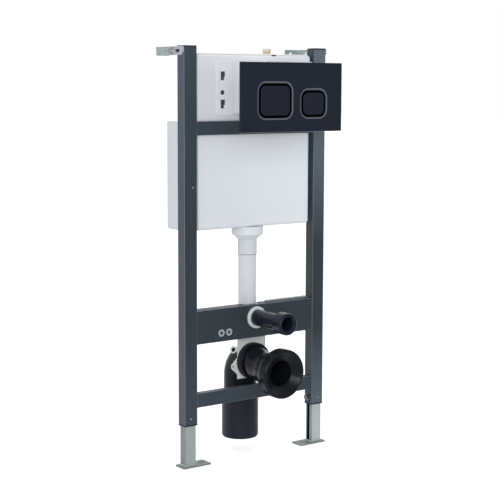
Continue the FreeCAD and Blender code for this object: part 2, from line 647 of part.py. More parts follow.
# Crossbars
def make_channel(label, front, low, high, deep):
    """A channel between the uprights, open to the back."""
    body = new_body(label)
    section = new_sketch(body, "YZ_Plane", out=f"-({INNER_SIDE})")
    polygon(section, (
        (f"-({front})", low), (f"-({front}) + {deep}", low),
        (f"-({front}) + {deep}", f"{low} + bar_wall"),
        (f"-({front}) + bar_wall", f"{low} + bar_wall"),
        (f"-({front}) + bar_wall", f"{high} - bar_wall"),
        (f"-({front}) + {deep}", f"{high} - bar_wall"),
        (f"-({front}) + {deep}", high), (f"-({front})", high),
    ))
    pad(body, section, f"2 * ({INNER_SIDE})")
    face = -amount(front)
    round_edges(body, lambda edge: runs_along(edge, ALONG_X)
                and abs(edge.CenterOfMass.y - face) < 1e-6, "bar_round")
    return body


def make_crossbars():
    make_channel("top_crossbar", "upright_deep / 2", "top_bar_low", "top_bar_high",
                 "(upright_deep / 2 - hood_front)")
    make_channel("bottom_crossbar", "low_bar_front", "low_bar_low", "low_bar_high",
                 "low_bar_deep")


def make_pan_crossbar():
    body = make_channel("pan_crossbar", "pan_bar_front", "pan_bar_low", "pan_bar_high",
                        "pan_bar_deep")
    stud_middle = "(stud_near + stud_far) / 2"
    for side in ("", "-"):
        recess = new_sketch(body, "XZ_Plane", out="pan_bar_front")
        obround(recess, f"{side}{stud_middle}", "stud_high", "recess_long", "recess_high")
        pocket(body, recess, "recess_deep - bar_wall / 2")
        for place in ("stud_near", "stud_far"):
            hole = new_sketch(body, "XZ_Plane", out="pan_bar_front")
            circle(hole, f"{side}{place}", "stud_high", "stud_nut + 2 * bolt_gap")
            pocket(body, hole, "bar_wall + cut_past")
    tube_hole = new_sketch(body, "XZ_Plane", out="pan_bar_front")
    circle(tube_hole, "0", "flush_high", "flush_size + 2 * tube_gap")
    pocket(body, tube_hole, "bar_wall + cut_past")
    notch_half = "(flush_size / 2 + notch_gap)"
    notch = new_sketch(body, "XY_Plane", out="pan_bar_high")
    rectangle(notch, f"-{notch_half}", f"flush_back - {notch_half}",
              notch_half, "pan_bar_deep")
    pocket(body, notch, "bar_wall")


def make_stiffening_strip():
    """A flat strip on the pan crossbar's right half, with its free corner cut off."""
    body = new_body("stiffening_strip")
    outline = new_sketch(body, "XY_Plane", out="pan_bar_high")
    back = "strip_front + strip_deep"
    polygon(outline, (
        ("strip_start", "strip_front"), (INNER_SIDE, "strip_front"), (INNER_SIDE, back),
        ("strip_start + strip_chamfer", back), ("strip_start", f"{back} - strip_chamfer"),
    ))
    pad(body, outline, "strip_thick")


def make_stud_nuts():
    """Two threaded nuts a side, fixed in the pan crossbar's web."""
    for side, sign in (("right", ""), ("left", "-")):
        tubes = []
        for place in ("stud_near", "stud_far"):
            name = f"{side}_{place}"
            front = "-pan_bar_front - stud_nut_proud + recess_deep - bar_wall / 2"
            outer = primitive("Cylinder", name + "_outside",
                              {"Radius": "stud_nut / 2", "Height": "stud_nut_long"},
                              (f"{sign}{place}", f"{front} + stud_nut_long", "stud_high"),
                              FACING_FRONT)
            bore = primitive("Cylinder", name + "_bore",
                             {"Radius": "stud_bore / 2", "Height": "stud_nut_long + 2 * cut_past"},
                             (f"{sign}{place}", f"{front} + stud_nut_long + cut_past", "stud_high"),
                             FACING_FRONT)
            tubes.append(cut(name + "_nut", outer, bore))
        finished(joined(side + "_stud_nuts", tubes), side + "_stud_nuts")


# Bolts
def hex_head(name, across_flats, thick, place, turn):
    sizes = {"Circumradius": f"({across_flats}) / sqrt(3)", "Height": thick}
    prism = primitive("Prism", name, sizes, place, turn)
    prism.Polygon = 6
    return prism


def make_leg_clamp_bolt():
    head_side = f"{INNER_SIDE} - washer_thick - head_thick"
    place = ("leg_slot_back", "clamp_high")
    head = hex_head("leg_clamp_head", "clamp_head", "head_thick",
                    (head_side, *place), FACING_RIGHT)
    washer = primitive("Cylinder", "leg_clamp_washer",
                       {"Radius": "washer_size / 2", "Height": "washer_thick"},
                       (f"{INNER_SIDE} - washer_thick", *place), FACING_RIGHT)
    shank = primitive("Cylinder", "leg_clamp_shank",
                      {"Radius": "clamp_bolt / 2", "Height": "washer_thick + clamp_reach"},
                      (f"{INNER_SIDE} - washer_thick", *place), FACING_RIGHT)
    bolt = finished(joined("right_leg_clamp_bolt", [head, washer, shank]), "right_leg_clamp_bolt")
    mirrored(bolt, "left_leg_clamp_bolt")


def make_bracket_bolt():
    outside = "frame_wide / 2 + bracket_wall"
    place = ("slide_bolt_back", "bracket_middle")
    nut_inner = "frame_wide / 2 - bracket_wall - slide_nut_gap - head_thick"
    head = hex_head("bracket_head", "clamp_head", "head_thick",
                    (f"{outside} + washer_thick", *place), FACING_RIGHT)
    washer = primitive("Cylinder", "bracket_washer",
                       {"Radius": "washer_size / 2", "Height": "washer_thick"},
                       (outside, *place), FACING_RIGHT)
    nut = hex_head("bracket_nut", "clamp_head", "head_thick", (nut_inner, *place), FACING_RIGHT)
    shank = primitive("Cylinder", "bracket_shank",
                      {"Radius": "slide_bolt / 2",
                       "Height": "2 * bracket_wall + slide_nut_gap + 2 * head_thick"},
                      (f"{nut_inner} - head_thick", *place), FACING_RIGHT)
    solids = [head, washer, nut, shank]
    bolt = finished(joined("right_bracket_bolt", solids), "right_bracket_bolt")
    mirrored(bolt, "left_bracket_bolt")


# Wall brackets: a plate on the upright's outer face, and an arm that slides along it
def make_bracket_plate():
    body = new_body("right_bracket_plate")
    outer = "frame_wide / 2 + bracket_wall"
    low = "bracket_low"
    high = "bracket_low + bracket_tall"
    outline = new_sketch(body, "YZ_Plane", out="frame_wide / 2")
    polygon(outline, (
        ("-side_plate_front + side_plate_chamfer", low), ("side_plate_back", low),
        ("side_plate_back", high), ("-side_plate_front", high),
        ("-side_plate_front", f"{low} + side_plate_chamfer"),
    ))
    pad(body, outline, "bracket_wall")
    back = amount("side_plate_back")
    round_edges(body, lambda edge: runs_along(edge, ALONG_X)
                and abs(edge.CenterOfMass.y - back) < 1e-6, "bracket_tall / 3")
    slot = new_sketch(body, "YZ_Plane", out=f"{outer} + cut_past")
    obround(slot, "side_slot_front + side_slot_long / 2", "bracket_middle",
            "side_slot_long", "side_slot")
    pocket(body, slot, "bracket_wall + 2 * cut_past")
    hole = new_sketch(body, "YZ_Plane", out=f"{outer} + cut_past")
    circle(hole, "slide_bolt_back", "bracket_middle", "slide_bolt + 2 * bolt_gap")
    pocket(body, hole, "bracket_wall + 2 * cut_past")
    mirrored(body, "left_bracket_plate")


def make_wall_bracket():
    body = new_body("right_wall_bracket")
    outline = new_sketch(body, "XY_Plane", out="bracket_low")
    inner = "frame_wide / 2 - bracket_wall"
    outer = "frame_wide / 2"
    free_end = "frame_wide / 2 - bracket_turn"
    polygon(outline, (
        (inner, "bracket_front"), (outer, "bracket_front"), (outer, "wall_place"),
        (free_end, "wall_place"), (free_end, "wall_place - bracket_wall"),
        (inner, "wall_place - bracket_wall"),
    ))
    pad(body, outline, "bracket_tall")
    back_corner = FreeCAD.Vector(amount(outer), amount("wall_place"), 0)

    def at_back_corner(edge):
        middle = edge.CenterOfMass
        return runs_along(edge, ALONG_Z) and math.hypot(
            middle.x - back_corner.x, middle.y - back_corner.y) < 1e-6
    round_edges(body, at_back_corner, "bracket_round")
    slot = new_sketch(body, "YZ_Plane", out=f"{outer} + cut_past")
    obround(slot, "slide_slot_front + slide_slot_long / 2", "bracket_middle",
            "slide_slot_long", "slide_slot")
    pocket(body, slot, "bracket_wall + 2 * cut_past")
    spare = new_sketch(body, "YZ_Plane", out=f"{outer} + cut_past")
    circle(spare, "spare_hole_back", "bracket_middle", "wall_hole")
    pocket(body, spare, "bracket_wall + 2 * cut_past")
    wall = new_sketch(body, "XZ_Plane", out="-wall_place - cut_past")
    circle(wall, f"{free_end} + wall_hole_in", "bracket_middle", "wall_hole")
    pocket(body, wall, "bracket_wall + 2 * cut_past", reverse=True)
    mirrored(body, "left_wall_bracket")


# Cistern
def box_edges(spare_face_z):
    """Edges of a box apart from those round the face at a height."""
    def wanted(edge):
        flat = abs(edge.tangentAt(edge.FirstParameter).z) < 1e-6
        return not (flat and abs(edge.CenterOfMass.z - spare_face_z) < 1e-6)
    return wanted


def make_tank():
    body = new_body("cistern_tank")
    outline = new_sketch(body, "XY_Plane", out="tank_low")
    rectangle(outline, "-tank_wide / 2", "-tank_front", "tank_wide / 2", "tank_back")
    pad(body, outline, "tank_high - tank_low")
    round_edges(body, box_edges(amount("tank_high")), "tank_round")
    rear = new_sketch(body, "XY_Plane", out="tank_low - rear_drop")
    rectangle(rear, "-rear_wide / 2", "rear_front", "rear_wide / 2", "tank_back")
    pad(body, rear, "tank_high - tank_low + rear_drop")
    back = amount("tank_back")
    low = amount("tank_low - rear_drop")
    step = amount("rear_front")
    side = amount("rear_wide / 2")

    def rear_edges(edge):
        middle = edge.CenterOfMass
        upright = runs_along(edge, ALONG_Z) and abs(middle.y - back) < 1e-6
        under = abs(middle.z - low) < 1e-6 and abs(middle.y - step) > 1e-6
        return upright or under

    def step_edges(edge):
        middle = edge.CenterOfMass
        return (runs_along(edge, ALONG_Z) and abs(middle.y - step) < 1e-6
                and abs(abs(middle.x) - side) < 1e-6)
    round_edges(body, rear_edges, "tank_round")
    round_edges(body, step_edges, "rear_step")
    for half, start, low_end in (("tank_wide / 2", "-tank_front", "tank_low"),
                                 ("rear_wide / 2", "rear_front", "(tank_low - rear_drop)")):
        inside = new_sketch(body, "XY_Plane", out="tank_high - tank_wall")
        rectangle(inside, f"-{half} + tank_wall", f"{start} + tank_wall",
                  f"{half} - tank_wall", "tank_back - tank_wall")
        pocket(body, inside, f"tank_high - {low_end} - 2 * tank_wall")
    mouth = new_sketch(body, "XY_Plane", out="tank_high")
    rectangle(mouth, "-tank_wide / 2 + 3 * tank_wall", "-tank_front + 3 * tank_wall",
              "tank_wide / 2 - 3 * tank_wall", "hood_back - 3 * tank_wall")
    pocket(body, mouth, "tank_wall")
    outlet = new_sketch(body, "XY_Plane", out="tank_low + tank_wall")
    circle(outlet, "0", "flush_back", "socket_size + 2 * tube_gap")
    pocket(body, outlet, "tank_wall")


def make_hood():
    body = new_body("cistern_hood")
    outline = new_sketch(body, "XY_Plane", out="tank_high")
    rectangle(outline, "-hood_wide / 2", "-hood_front", "hood_wide / 2", "hood_back")
    pad(body, outline, "hood_high - tank_high")
    round_edges(body, box_edges(amount("tank_high")), "hood_round")
    inside = new_sketch(body, "XY_Plane", out="tank_high")
    rectangle(inside, "-hood_wide / 2 + 2 * tank_wall", "-hood_front + tank_wall",
              "hood_wide / 2 - 2 * tank_wall", "hood_back - tank_wall")
    pocket(body, inside, "hood_high - tank_high - tank_wall", reverse=True)
    service = new_sketch(body, "XZ_Plane", out="hood_front")
    rectangle(service, "-shaft_wide / 2 + 2 * shaft_wall", "shaft_low + 2 * shaft_wall",
              "shaft_wide / 2 - 2 * shaft_wall", "shaft_high - 2 * shaft_wall")
    pocket(body, service, "tank_wall + cut_past")
    inlet = new_sketch(body, "XY_Plane", out="hood_high")
    circle(inlet, "nipple_side", "nipple_back", "nipple_size + 2 * bolt_gap")
    pocket(body, inlet, "tank_wall + cut_past")


def make_inlet():
    place = ("nipple_side", "nipple_back")
    stem = primitive("Cylinder", "nipple_stem",
                     {"Radius": "nipple_size / 2", "Height": "nipple_proud + nipple_inside"},
                     (*place, "hood_high - nipple_inside"))
    bore = primitive("Cylinder", "nipple_hole",
                     {"Radius": "nipple_bore / 2",
                      "Height": "nipple_proud + nipple_inside + 2 * cut_past"},
                     (*place, "hood_high - nipple_inside - cut_past"))
    finished(cut("inlet_nipple", stem, bore), "inlet_nipple")
    body = new_body("inlet_cap")
    section = new_sketch(body, "XZ_Plane", along="nipple_side", up="hood_high + nipple_proud",
                         out="-nipple_back")
    polygon(section, (
        ("0", "0"), ("nipple_cap_size / 2", "0"),
        ("nipple_cap_size / 2", "nipple_cap_thick - nipple_cap_chamfer"),
        ("nipple_cap_size / 2 - nipple_cap_chamfer", "nipple_cap_thick"),
        ("0", "nipple_cap_thick"),
    ))
    revolve(body, section, "V_Axis")


def make_cover_plate():
    body = new_body("cover_plate")
    front = "hood_front + cover_thick"
    outline = new_sketch(body, "XZ_Plane", out="hood_front")
    rectangle(outline, "-cover_wide / 2", "cover_low", "cover_wide / 2", "cover_high")
    pad(body, outline, "cover_thick")
    round_edges(body, lambda edge: runs_along(edge, ALONG_Y), "cover_round")
    face = -amount(front)
    round_edges(body, lambda edge: abs(edge.CenterOfMass.y - face) < 1e-6, "cover_thick / 3")
    window = new_sketch(body, "XZ_Plane", out=front)
    rectangle(window, "-shaft_wide / 2 - tube_gap", "shaft_low - tube_gap",
              "shaft_wide / 2 + tube_gap", "shaft_high + tube_gap")
    pocket(body, window, "cover_thick")
    for side in ("", "-"):
        field = new_sketch(body, "XZ_Plane", out=front)
        rectangle(field, f"{side}(shaft_wide / 2 + field_gap)", "cover_low + field_margin",
                  f"{side}(cover_wide / 2 - field_margin)", "cover_high - field_margin")
        pocket(body, field, "field_deep")
        hole = new_sketch(body, "XZ_Plane", out=front)
        circle(hole, f"{side}cover_hole_place", "cover_hole_high", "cover_hole")
        pocket(body, hole, "cover_thick")
        edge = f"{side}key_slot_place"
        wide = f"{side}(key_slot_place - key_slot_wide)"
        narrow = f"{side}(key_slot_place - key_slot_narrow)"
        for middle in ("high_slot", "low_slot"):
            low = f"{middle} - key_slot_tall / 2"
            high = f"{middle} + key_slot_tall / 2"
            step = f"{middle} - key_slot_step"
            slot = new_sketch(body, "XZ_Plane", out=front)
            polygon(slot, (
                (narrow, low), (edge, low), (edge, high), (wide, high), (wide, step),
                (narrow, step),
            ))
            pocket(body, slot, "cover_thick")


def make_service_shaft():
    body = new_body("service_shaft")
    length = "plate_front - plate_deep - hood_front"
    outline = new_sketch(body, "XZ_Plane", out="hood_front")
    rectangle(outline, "-shaft_wide / 2", "shaft_low", "shaft_wide / 2", "shaft_high")
    pad(body, outline, length)
    round_edges(body, lambda edge: runs_along(edge, ALONG_Y), "shaft_round")
    inside = new_sketch(body, "XZ_Plane", out="plate_front - plate_deep")
    rectangle(inside, "-shaft_wide / 2 + shaft_wall", "shaft_low + shaft_wall",
              "shaft_wide / 2 - shaft_wall", "shaft_high - shaft_wall")
    pocket(body, inside, length)


# Flush plate and its two buttons
WINDOWS = {
    "full": ("-full_left", "full_wide", "full_low", "full_high"),
    "half": ("half_left", "half_wide", "half_low", "half_high"),
}


def make_flush_plate():
    body = new_body("flush_plate")
    outline = new_sketch(body, "XZ_Plane", out="plate_front - plate_wall")
    rectangle(outline, "-plate_wide / 2", "plate_low", "plate_wide / 2", "plate_high")
    pad(body, outline, "plate_wall")
    round_edges(body, lambda edge: runs_along(edge, ALONG_Y), "plate_round")
    face = -amount("plate_front")
    round_edges(body, lambda edge: abs(edge.CenterOfMass.y - face) < 1e-6, "plate_wall / 2")
    skirt = new_sketch(body, "XZ_Plane", out="plate_front - plate_deep")
    rectangle(skirt, "-plate_wide / 2 + plate_inset", "plate_low",
              "plate_wide / 2 - plate_inset", "plate_high")
    pad(body, skirt, "plate_deep - plate_wall")
    hollow = new_sketch(body, "XZ_Plane", out="plate_front - plate_deep")
    rectangle(hollow, "-plate_wide / 2 + plate_inset + plate_wall", "plate_low + plate_wall",
              "plate_wide / 2 - plate_inset - plate_wall", "plate_high - plate_wall")
    pocket(body, hollow, "plate_deep - plate_wall", reverse=True)
    for left, wide, low, high in WINDOWS.values():
        window = new_sketch(body, "XZ_Plane", out="plate_front")
        rounded_rectangle(window, left, low, f"{left} + {wide}", high, "window_round")
        pocket(body, window, "plate_wall")
        rim = new_sketch(body, "XZ_Plane", out="plate_front")
        rounded_rectangle(rim, f"{left} - bezel_wide", f"{low} - bezel_wide",
                          f"{left} + {wide} + bezel_wide", f"{high} + bezel_wide",
                          "window_round + bezel_wide")
        foot = new_sketch(body, "XZ_Plane", out="plate_front - bezel_deep")
        rounded_rectangle(foot, left, low, f"{left} + {wide}", high, "window_round")
        bezel = body.newObject("PartDesign::SubtractiveLoft", "bezel_slope")
        bezel.Profile = rim
        bezel.Sections = [foot]
        doc.recompute()


def make_button(label, left, wide, low, high):
    body = new_body(label)
    behind = "plate_front - plate_wall - button_seat - button_flange"
    flange = new_sketch(body, "XZ_Plane", out=behind)
    rounded_rectangle(flange, f"{left} - button_lap", f"{low} - button_lap",
                      f"{left} + {wide} + button_lap", f"{high} + button_lap",
                      "window_round + button_lap")
    pad(body, flange, "button_flange")
    face = new_sketch(body, "XZ_Plane", out=f"{behind} + button_flange")
    rounded_rectangle(face, f"{left} + button_gap", f"{low} + button_gap",
                      f"{left} + {wide} - button_gap", f"{high} - button_gap",
                      "window_round - button_gap")
    pad(body, face, "plate_wall + button_seat")
    front = -amount("plate_front")
    round_edges(body, lambda edge: abs(edge.CenterOfMass.y - front) < 1e-6, "plate_wall / 3")


# Flush pipe, from the tank's outlet to the pan
def make_outlet_nut():
    body = new_body("outlet_nut")
    section = new_sketch(body, "XZ_Plane", up="nut_low", out="-flush_back")
    bore = "socket_size / 2 + tube_gap"
    polygon(section, (
        (bore, "0"), ("nut_collar / 2", "0"), ("nut_size / 2", "nut_tall - nut_straight"),
        ("nut_size / 2", "nut_tall"), (bore, "nut_tall"),
    ))
    revolve(body, section, "V_Axis")


def make_flush_socket():
    body = new_body("flush_socket")
    section = new_sketch(body, "XZ_Plane", up="socket_low", out="-flush_back")
    bore = "flush_size / 2 + tube_gap"
    polygon(section, (
        (bore, "0"), ("socket_size / 2 - socket_chamfer", "0"),
        ("socket_size / 2", "socket_chamfer"), ("socket_size / 2", "socket_drop + socket_inside"),
        (bore, "socket_drop + socket_inside"),
    ))
    revolve(body, section, "V_Axis")


def swept(body, path, diameter, start_place, subtract=False):
    """A round pipe along a path in the YZ plane that starts upright."""
    section = new_sketch(body, "XY_Plane", up=start_place[0], out=start_place[1])
    circle(section, "0", "0", diameter)
    kind = "PartDesign::SubtractivePipe" if subtract else "PartDesign::AdditivePipe"
    pipe = body.newObject(kind, body.Name + "_pipe")
    pipe.Profile = section
    pipe.Spine = (path, [f"Edge{place + 1}" for place in range(path.GeometryCount)])
    doc.recompute()


def bend_path(body, upright_y, top_z, axis_z, radius, end_y, from_top):
    """Upright run, quarter bend and forward run in the body's YZ plane."""
    path = new_sketch(body, "YZ_Plane")
    y = amount(upright_y)
    z = amount(axis_z)
    r = amount(radius)
    turn_side = 1 if from_top else -1
    bend_z = z + turn_side * r
    start = FreeCAD.Vector(y, amount(top_z), 0)
    bend_start = FreeCAD.Vector(y, bend_z, 0)
    centre = FreeCAD.Vector(y - r, bend_z, 0)
    bend_end = FreeCAD.Vector(y - r, z, 0)
    end = FreeCAD.Vector(-amount(end_y), z, 0)
    first = path.addGeometry(Part.LineSegment(start, bend_start), False)
    ring = Part.Circle(centre, FreeCAD.Vector(0, 0, 1), r)
    if from_top:
        arc = Part.ArcOfCircle(ring, -math.pi / 2, 0)
    else:
        arc = Part.ArcOfCircle(ring, 0, math.pi / 2)
    bend = path.addGeometry(arc, False)
    last = path.addGeometry(Part.LineSegment(bend_end, end), False)
    upright_end, forward_end = (2, 1) if from_top else (1, 2)
    path.addConstraint(Sketcher.Constraint("Tangent", first, 2, bend, upright_end))
    path.addConstraint(Sketcher.Constraint("Tangent", bend, forward_end, last, 1))
    path.addConstraint(Sketcher.Constraint("Vertical", first))
    path.addConstraint(Sketcher.Constraint("Horizontal", last))
    set_size(path, Sketcher.Constraint("DistanceX", -1, 1, first, 1, start.x), upright_y)
    set_size(path, Sketcher.Constraint("DistanceY", -1, 1, first, 1, start.y), top_z)
    set_size(path, Sketcher.Constraint("Radius", bend, r), radius)
    set_size(path, Sketcher.Constraint("DistanceX", -1, 1, last, 2, end.x), f"-({end_y})")
    set_size(path, Sketcher.Constraint("DistanceY", -1, 1, last, 2, end.y), axis_z)
    return path


def make_flush_pipe():
    body = new_body("flush_pipe")
    top = "tank_low"
    path = bend_path(body, "flush_back", top, "flush_high", "flush_bend", "pan_bar_front",
                     from_top=True)
    swept(body, path, "flush_size", ("flush_back", top))
    swept(body, path, "flush_size - 2 * flush_wall", ("flush_back", top), subtract=True)


def make_flush_collar():
    body = new_body("flush_collar")
    section = new_sketch(body, "YZ_Plane", up="flush_high")
    tube = "flush_size / 2 - flush_wall - tube_gap"
    back = "-pan_bar_front"
    polygon(section, (
        (back, f"{tube} + tube_gap"), (f"{back} - collar_thick", f"{tube} + tube_gap"),
        (f"{back} - collar_thick", "collar_size / 2 - collar_chamfer"),
        (f"{back} - collar_thick + collar_chamfer", "collar_size / 2"), (back, "collar_size / 2"),
    ))
    revolve(body, section, "H_Axis")


def make_flush_tube():
    body = new_body("flush_tube")
    section = new_sketch(body, "YZ_Plane", up="flush_high")
    tube = "flush_size / 2 - flush_wall - tube_gap"
    end = "-tube_end"
    socket = "-tube_end + tube_socket_long"
    polygon(section, (
        ("0", "tube_bore / 2"), ("0", tube), (f"{socket} + tube_shoulder", tube),
        (socket, "tube_socket / 2 - tube_edge / 2"), (f"{socket} - tube_edge", "tube_socket / 2"),
        (f"{end} + 2 * tube_edge", "tube_socket / 2"),
        (f"{end} + tube_edge / 2", "tube_socket / 2 - tube_edge / 3"),
        (end, "tube_socket / 2 - tube_edge"), (end, "tube_mouth / 2"),
        (f"{end} + tube_mouth_deep", "tube_bore / 2"),
    ))
    revolve(body, section, "H_Axis")


# Drain
def make_drain_bend():
    body = new_body("drain_bend")
    path = bend_path(body, "drain_back", "drain_foot", "drain_high", "drain_bend_radius",
                     "seal_thick - support_front - seal_seat", from_top=False)
    swept(body, path, "drain_size", ("drain_back", "drain_foot"))
    swept(body, path, "drain_size - 2 * drain_wall", ("drain_back", "drain_foot"), subtract=True)


def make_drain_adapter():
    body = new_body("drain_adapter")
    section = new_sketch(body, "XZ_Plane", out="-drain_back")
    bore = "drain_size / 2 + tube_gap"
    polygon(section, (
        ("adapter_bore / 2", "adapter_low"),
        ("adapter_size / 2 - adapter_lead / 2", "adapter_low"),
        ("adapter_size / 2", "adapter_low + adapter_lead"), ("adapter_size / 2", "adapter_high"),
        (bore, "adapter_high"), (bore, "drain_foot - tube_gap"),
        ("adapter_bore / 2", "drain_foot - tube_gap - adapter_lead / 2"),
    ))
    revolve(body, section, "V_Axis")


def make_seal_ring():
    body = new_body("seal_ring")
    section = new_sketch(body, "YZ_Plane", up="drain_high")
    bore = "drain_size / 2 + tube_gap"
    back = "support_front"
    front = "support_front - seal_thick"
    groove = f"{front} + seal_bead"
    polygon(section, (
        (back, bore), (back, "seal_size / 2"), (f"{groove} + seal_groove", "seal_size / 2"),
        (f"{groove} + seal_groove", "seal_size / 2 - seal_groove"),
        (groove, "seal_size / 2 - seal_groove"), (groove, "seal_size / 2"),
        (f"{front} + seal_chamfer / 2", "seal_size / 2 - seal_chamfer / 3"),
        (front, "seal_size / 2 - seal_chamfer"),
        (front, "neck_size / 2 + tube_gap"), (f"{front} + seal_lip", "neck_size / 2 + tube_gap"),
        (f"{front} + seal_lip", bore),
    ))
    revolve(body, section, "H_Axis")


def make_pipe_support():
    """A plate under the pan crossbar that holds the drain, with a lug a side and one ear."""
    body = new_body("pipe_support")
    outline = new_sketch(body, "XZ_Plane", out="-support_front - support_wall")
    rectangle(outline, "-support_wide / 2", "support_low", "support_wide / 2", "pan_bar_low")
    pad(body, outline, "support_wall")
    leg = new_sketch(body, "YZ_Plane", out="-support_wide / 2")
    rectangle(leg, "support_front", "pan_bar_low - support_wall",
              "pan_bar_deep - pan_bar_front", "pan_bar_low")
    pad(body, leg, "support_wide")
    ear = new_sketch(body, "XZ_Plane", out="-support_front - support_wall")
    circle(ear, "-ear_side", "ear_high", "ear_size")
    pad(body, ear, "support_wall")
    tab = new_sketch(body, "XZ_Plane", out="-support_front - support_wall")
    rectangle(tab, "-(support_wide / 2 - support_wall)", "ear_high - ear_size / 3",
              "-ear_side", "ear_high + ear_size / 3")
    pad(body, tab, "support_wall")
    ear_opening = new_sketch(body, "XZ_Plane", out="-support_front + cut_past")
    circle(ear_opening, "-ear_side", "ear_high", "ear_hole")
    pocket(body, ear_opening, "support_wall + 2 * cut_past")
    for side in ("", "-"):
        web = new_sketch(body, "XZ_Plane", out="-support_front - support_wall")
        polygon(web, (
            (f"{side}(support_wide / 2 - support_wall)", "lug_high - lug_root / 2"),
            (f"{side}(lug_side + lug_reach)", "lug_high - lug_tall / 2"),
            (f"{side}(lug_side + lug_reach)", "lug_high + lug_tall / 2"),
            (f"{side}(support_wide / 2 - support_wall)", "lug_high + lug_root / 2"),
        ))
        pad(body, web, "support_wall")
        hole = new_sketch(body, "XZ_Plane", out="-support_front + cut_past")
        circle(hole, f"{side}lug_side", "lug_high", "lug_hole")
        pocket(body, hole, "support_wall + 2 * cut_past")
    opening = new_sketch(body, "XZ_Plane", out="-support_front + cut_past")
    circle(opening, "0", "drain_high", "drain_size + 2 * tube_gap")
    pocket(body, opening, "support_wall + 2 * cut_past")


def make_pan_connector():
    """An offset connector: a neck in the drain bend that flares to a lower mouth."""
    body = new_body("pan_connector")
    neck = new_sketch(body, "XZ_Plane", out="neck_out")
    circle(neck, "0", "drain_high", "neck_size")
    pad(body, neck, "neck_out + neck_in", reverse=True)
    outer = (
        ("-neck_out", "0", "neck_size"),
        ("-(neck_out + waist_front) / 2", "rim_drop * 0.6", "neck_size + neck_flare / 2"),
        ("-waist_front", "rim_drop * 0.85", "neck_size + neck_flare"),
        ("-(waist_front + rim_front - rim_band) / 2", "rim_drop",
         "(neck_size + neck_flare + rim_size) / 2 - rim_step"),
        ("-rim_front + rim_band", "rim_drop", "rim_size - 2 * rim_step"),
    )
    dish = (
        ("-rim_front", "rim_drop", "mouth_size"),
        ("-rim_front + mouth_slope", "rim_drop", "pan_bore"),
    )
    throat = (
        ("-rim_front + mouth_slope", "rim_drop", "pan_bore"),
        ("-rim_front + throat_back", "rim_drop * 0.95", "pan_bore"),
        ("neck_in", "0", "pan_bore"),
    )
    lofts = ((outer, "PartDesign::AdditiveLoft"), (dish, "PartDesign::SubtractiveLoft"),
             (throat, "PartDesign::SubtractiveLoft"))
    for stations, kind in lofts:
        if stations is dish:
            band = new_sketch(body, "XZ_Plane", out="rim_front - rim_band")
            circle(band, "0", "drain_high - rim_drop", "rim_size")
            pad(body, band, "rim_band")
            face = -amount("rim_front")
            round_edges(body, lambda edge: abs(edge.CenterOfMass.y - face) < 1e-6, "rim_edge")
        rings = []
        for along, drop, diameter in stations:
            ring = new_sketch(body, "XZ_Plane", out=f"-({along})")
            circle(ring, "0", f"drain_high - ({drop})", diameter)
            rings.append(ring)
        loft = body.newObject(kind, "connector_loft")
        loft.Profile = rings[0]
        loft.Sections = rings[1:]
        doc.recompute()


make_upright()
make_upright_cap()
make_leg_bush()
make_leg()
make_foot_plate()
make_crossbars()
make_pan_crossbar()
make_stiffening_strip()
make_stud_nuts()
make_leg_clamp_bolt()
make_bracket_bolt()
make_bracket_plate()
make_wall_bracket()
make_tank()
make_hood()
make_inlet()
make_cover_plate()
make_service_shaft()
make_flush_plate()
make_button("full_flush_button", *WINDOWS["full"])
make_button("half_flush_button", *WINDOWS["half"])
make_outlet_nut()
make_flush_socket()
make_flush_pipe()
make_flush_collar()
make_flush_tube()
make_drain_bend()
make_drain_adapter()
make_seal_ring()
make_pipe_support()
make_pan_connector()

doc.recompute()
for item in doc.Objects:
    if "Invalid" in item.State or "Error" in item.State:
        raise ValueError(f"{item.Label} failed: {item.State}")
for piece in pieces:
    if piece.Shape.isNull() or not piece.Shape.isValid():
        raise ValueError(f"{piece.Label} has no valid shape")
os.makedirs("parts", exist_ok=True)
for piece in pieces:
    piece.Shape.exportStep(os.path.join("parts", piece.Label + ".step"))
    solids = len(piece.Shape.Solids)
    print(f"{piece.Label}: {solids} solid(s), {piece.Shape.Volume / 1000:.1f} cm3")
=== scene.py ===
import json
import math

import bmesh
import bpy
from bpy.props import FloatProperty, FloatVectorProperty, PointerProperty
from bpy.types import Operator, Panel, PropertyGroup
from mathutils import Matrix, Vector


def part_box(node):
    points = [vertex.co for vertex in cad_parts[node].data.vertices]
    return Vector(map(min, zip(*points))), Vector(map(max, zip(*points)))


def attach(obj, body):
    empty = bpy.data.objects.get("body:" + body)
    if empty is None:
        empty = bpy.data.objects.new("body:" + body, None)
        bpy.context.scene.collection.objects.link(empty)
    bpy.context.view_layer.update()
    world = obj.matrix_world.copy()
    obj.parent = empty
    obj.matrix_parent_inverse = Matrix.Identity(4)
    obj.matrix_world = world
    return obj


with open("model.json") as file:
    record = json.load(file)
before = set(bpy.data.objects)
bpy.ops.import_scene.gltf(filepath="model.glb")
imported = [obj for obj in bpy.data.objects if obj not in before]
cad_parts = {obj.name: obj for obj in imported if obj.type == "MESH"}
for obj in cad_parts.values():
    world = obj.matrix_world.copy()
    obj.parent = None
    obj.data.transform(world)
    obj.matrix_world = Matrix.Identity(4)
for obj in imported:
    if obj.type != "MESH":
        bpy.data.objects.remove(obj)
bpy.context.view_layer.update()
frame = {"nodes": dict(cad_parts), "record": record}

bl_info = {
    "name": "Wall hung toilet frame",
    "version": (1, 0, 0),
    "blender": (4, 5, 0),
    "location": "3D View > Sidebar > Toilet frame",
    "description": "Finishes and small parts of a steel frame for a wall hung toilet",
    "category": "Object",
}

record_colours = {row["slot"]: tuple(row["base_color"]) for row in frame["record"]["materials"]}
FRONT = Vector((0.0, -1.0, 0.0))
UP = Vector((0.0, 0.0, 1.0))
SIDES = ((-1.0, "left"), (1.0, "right"))

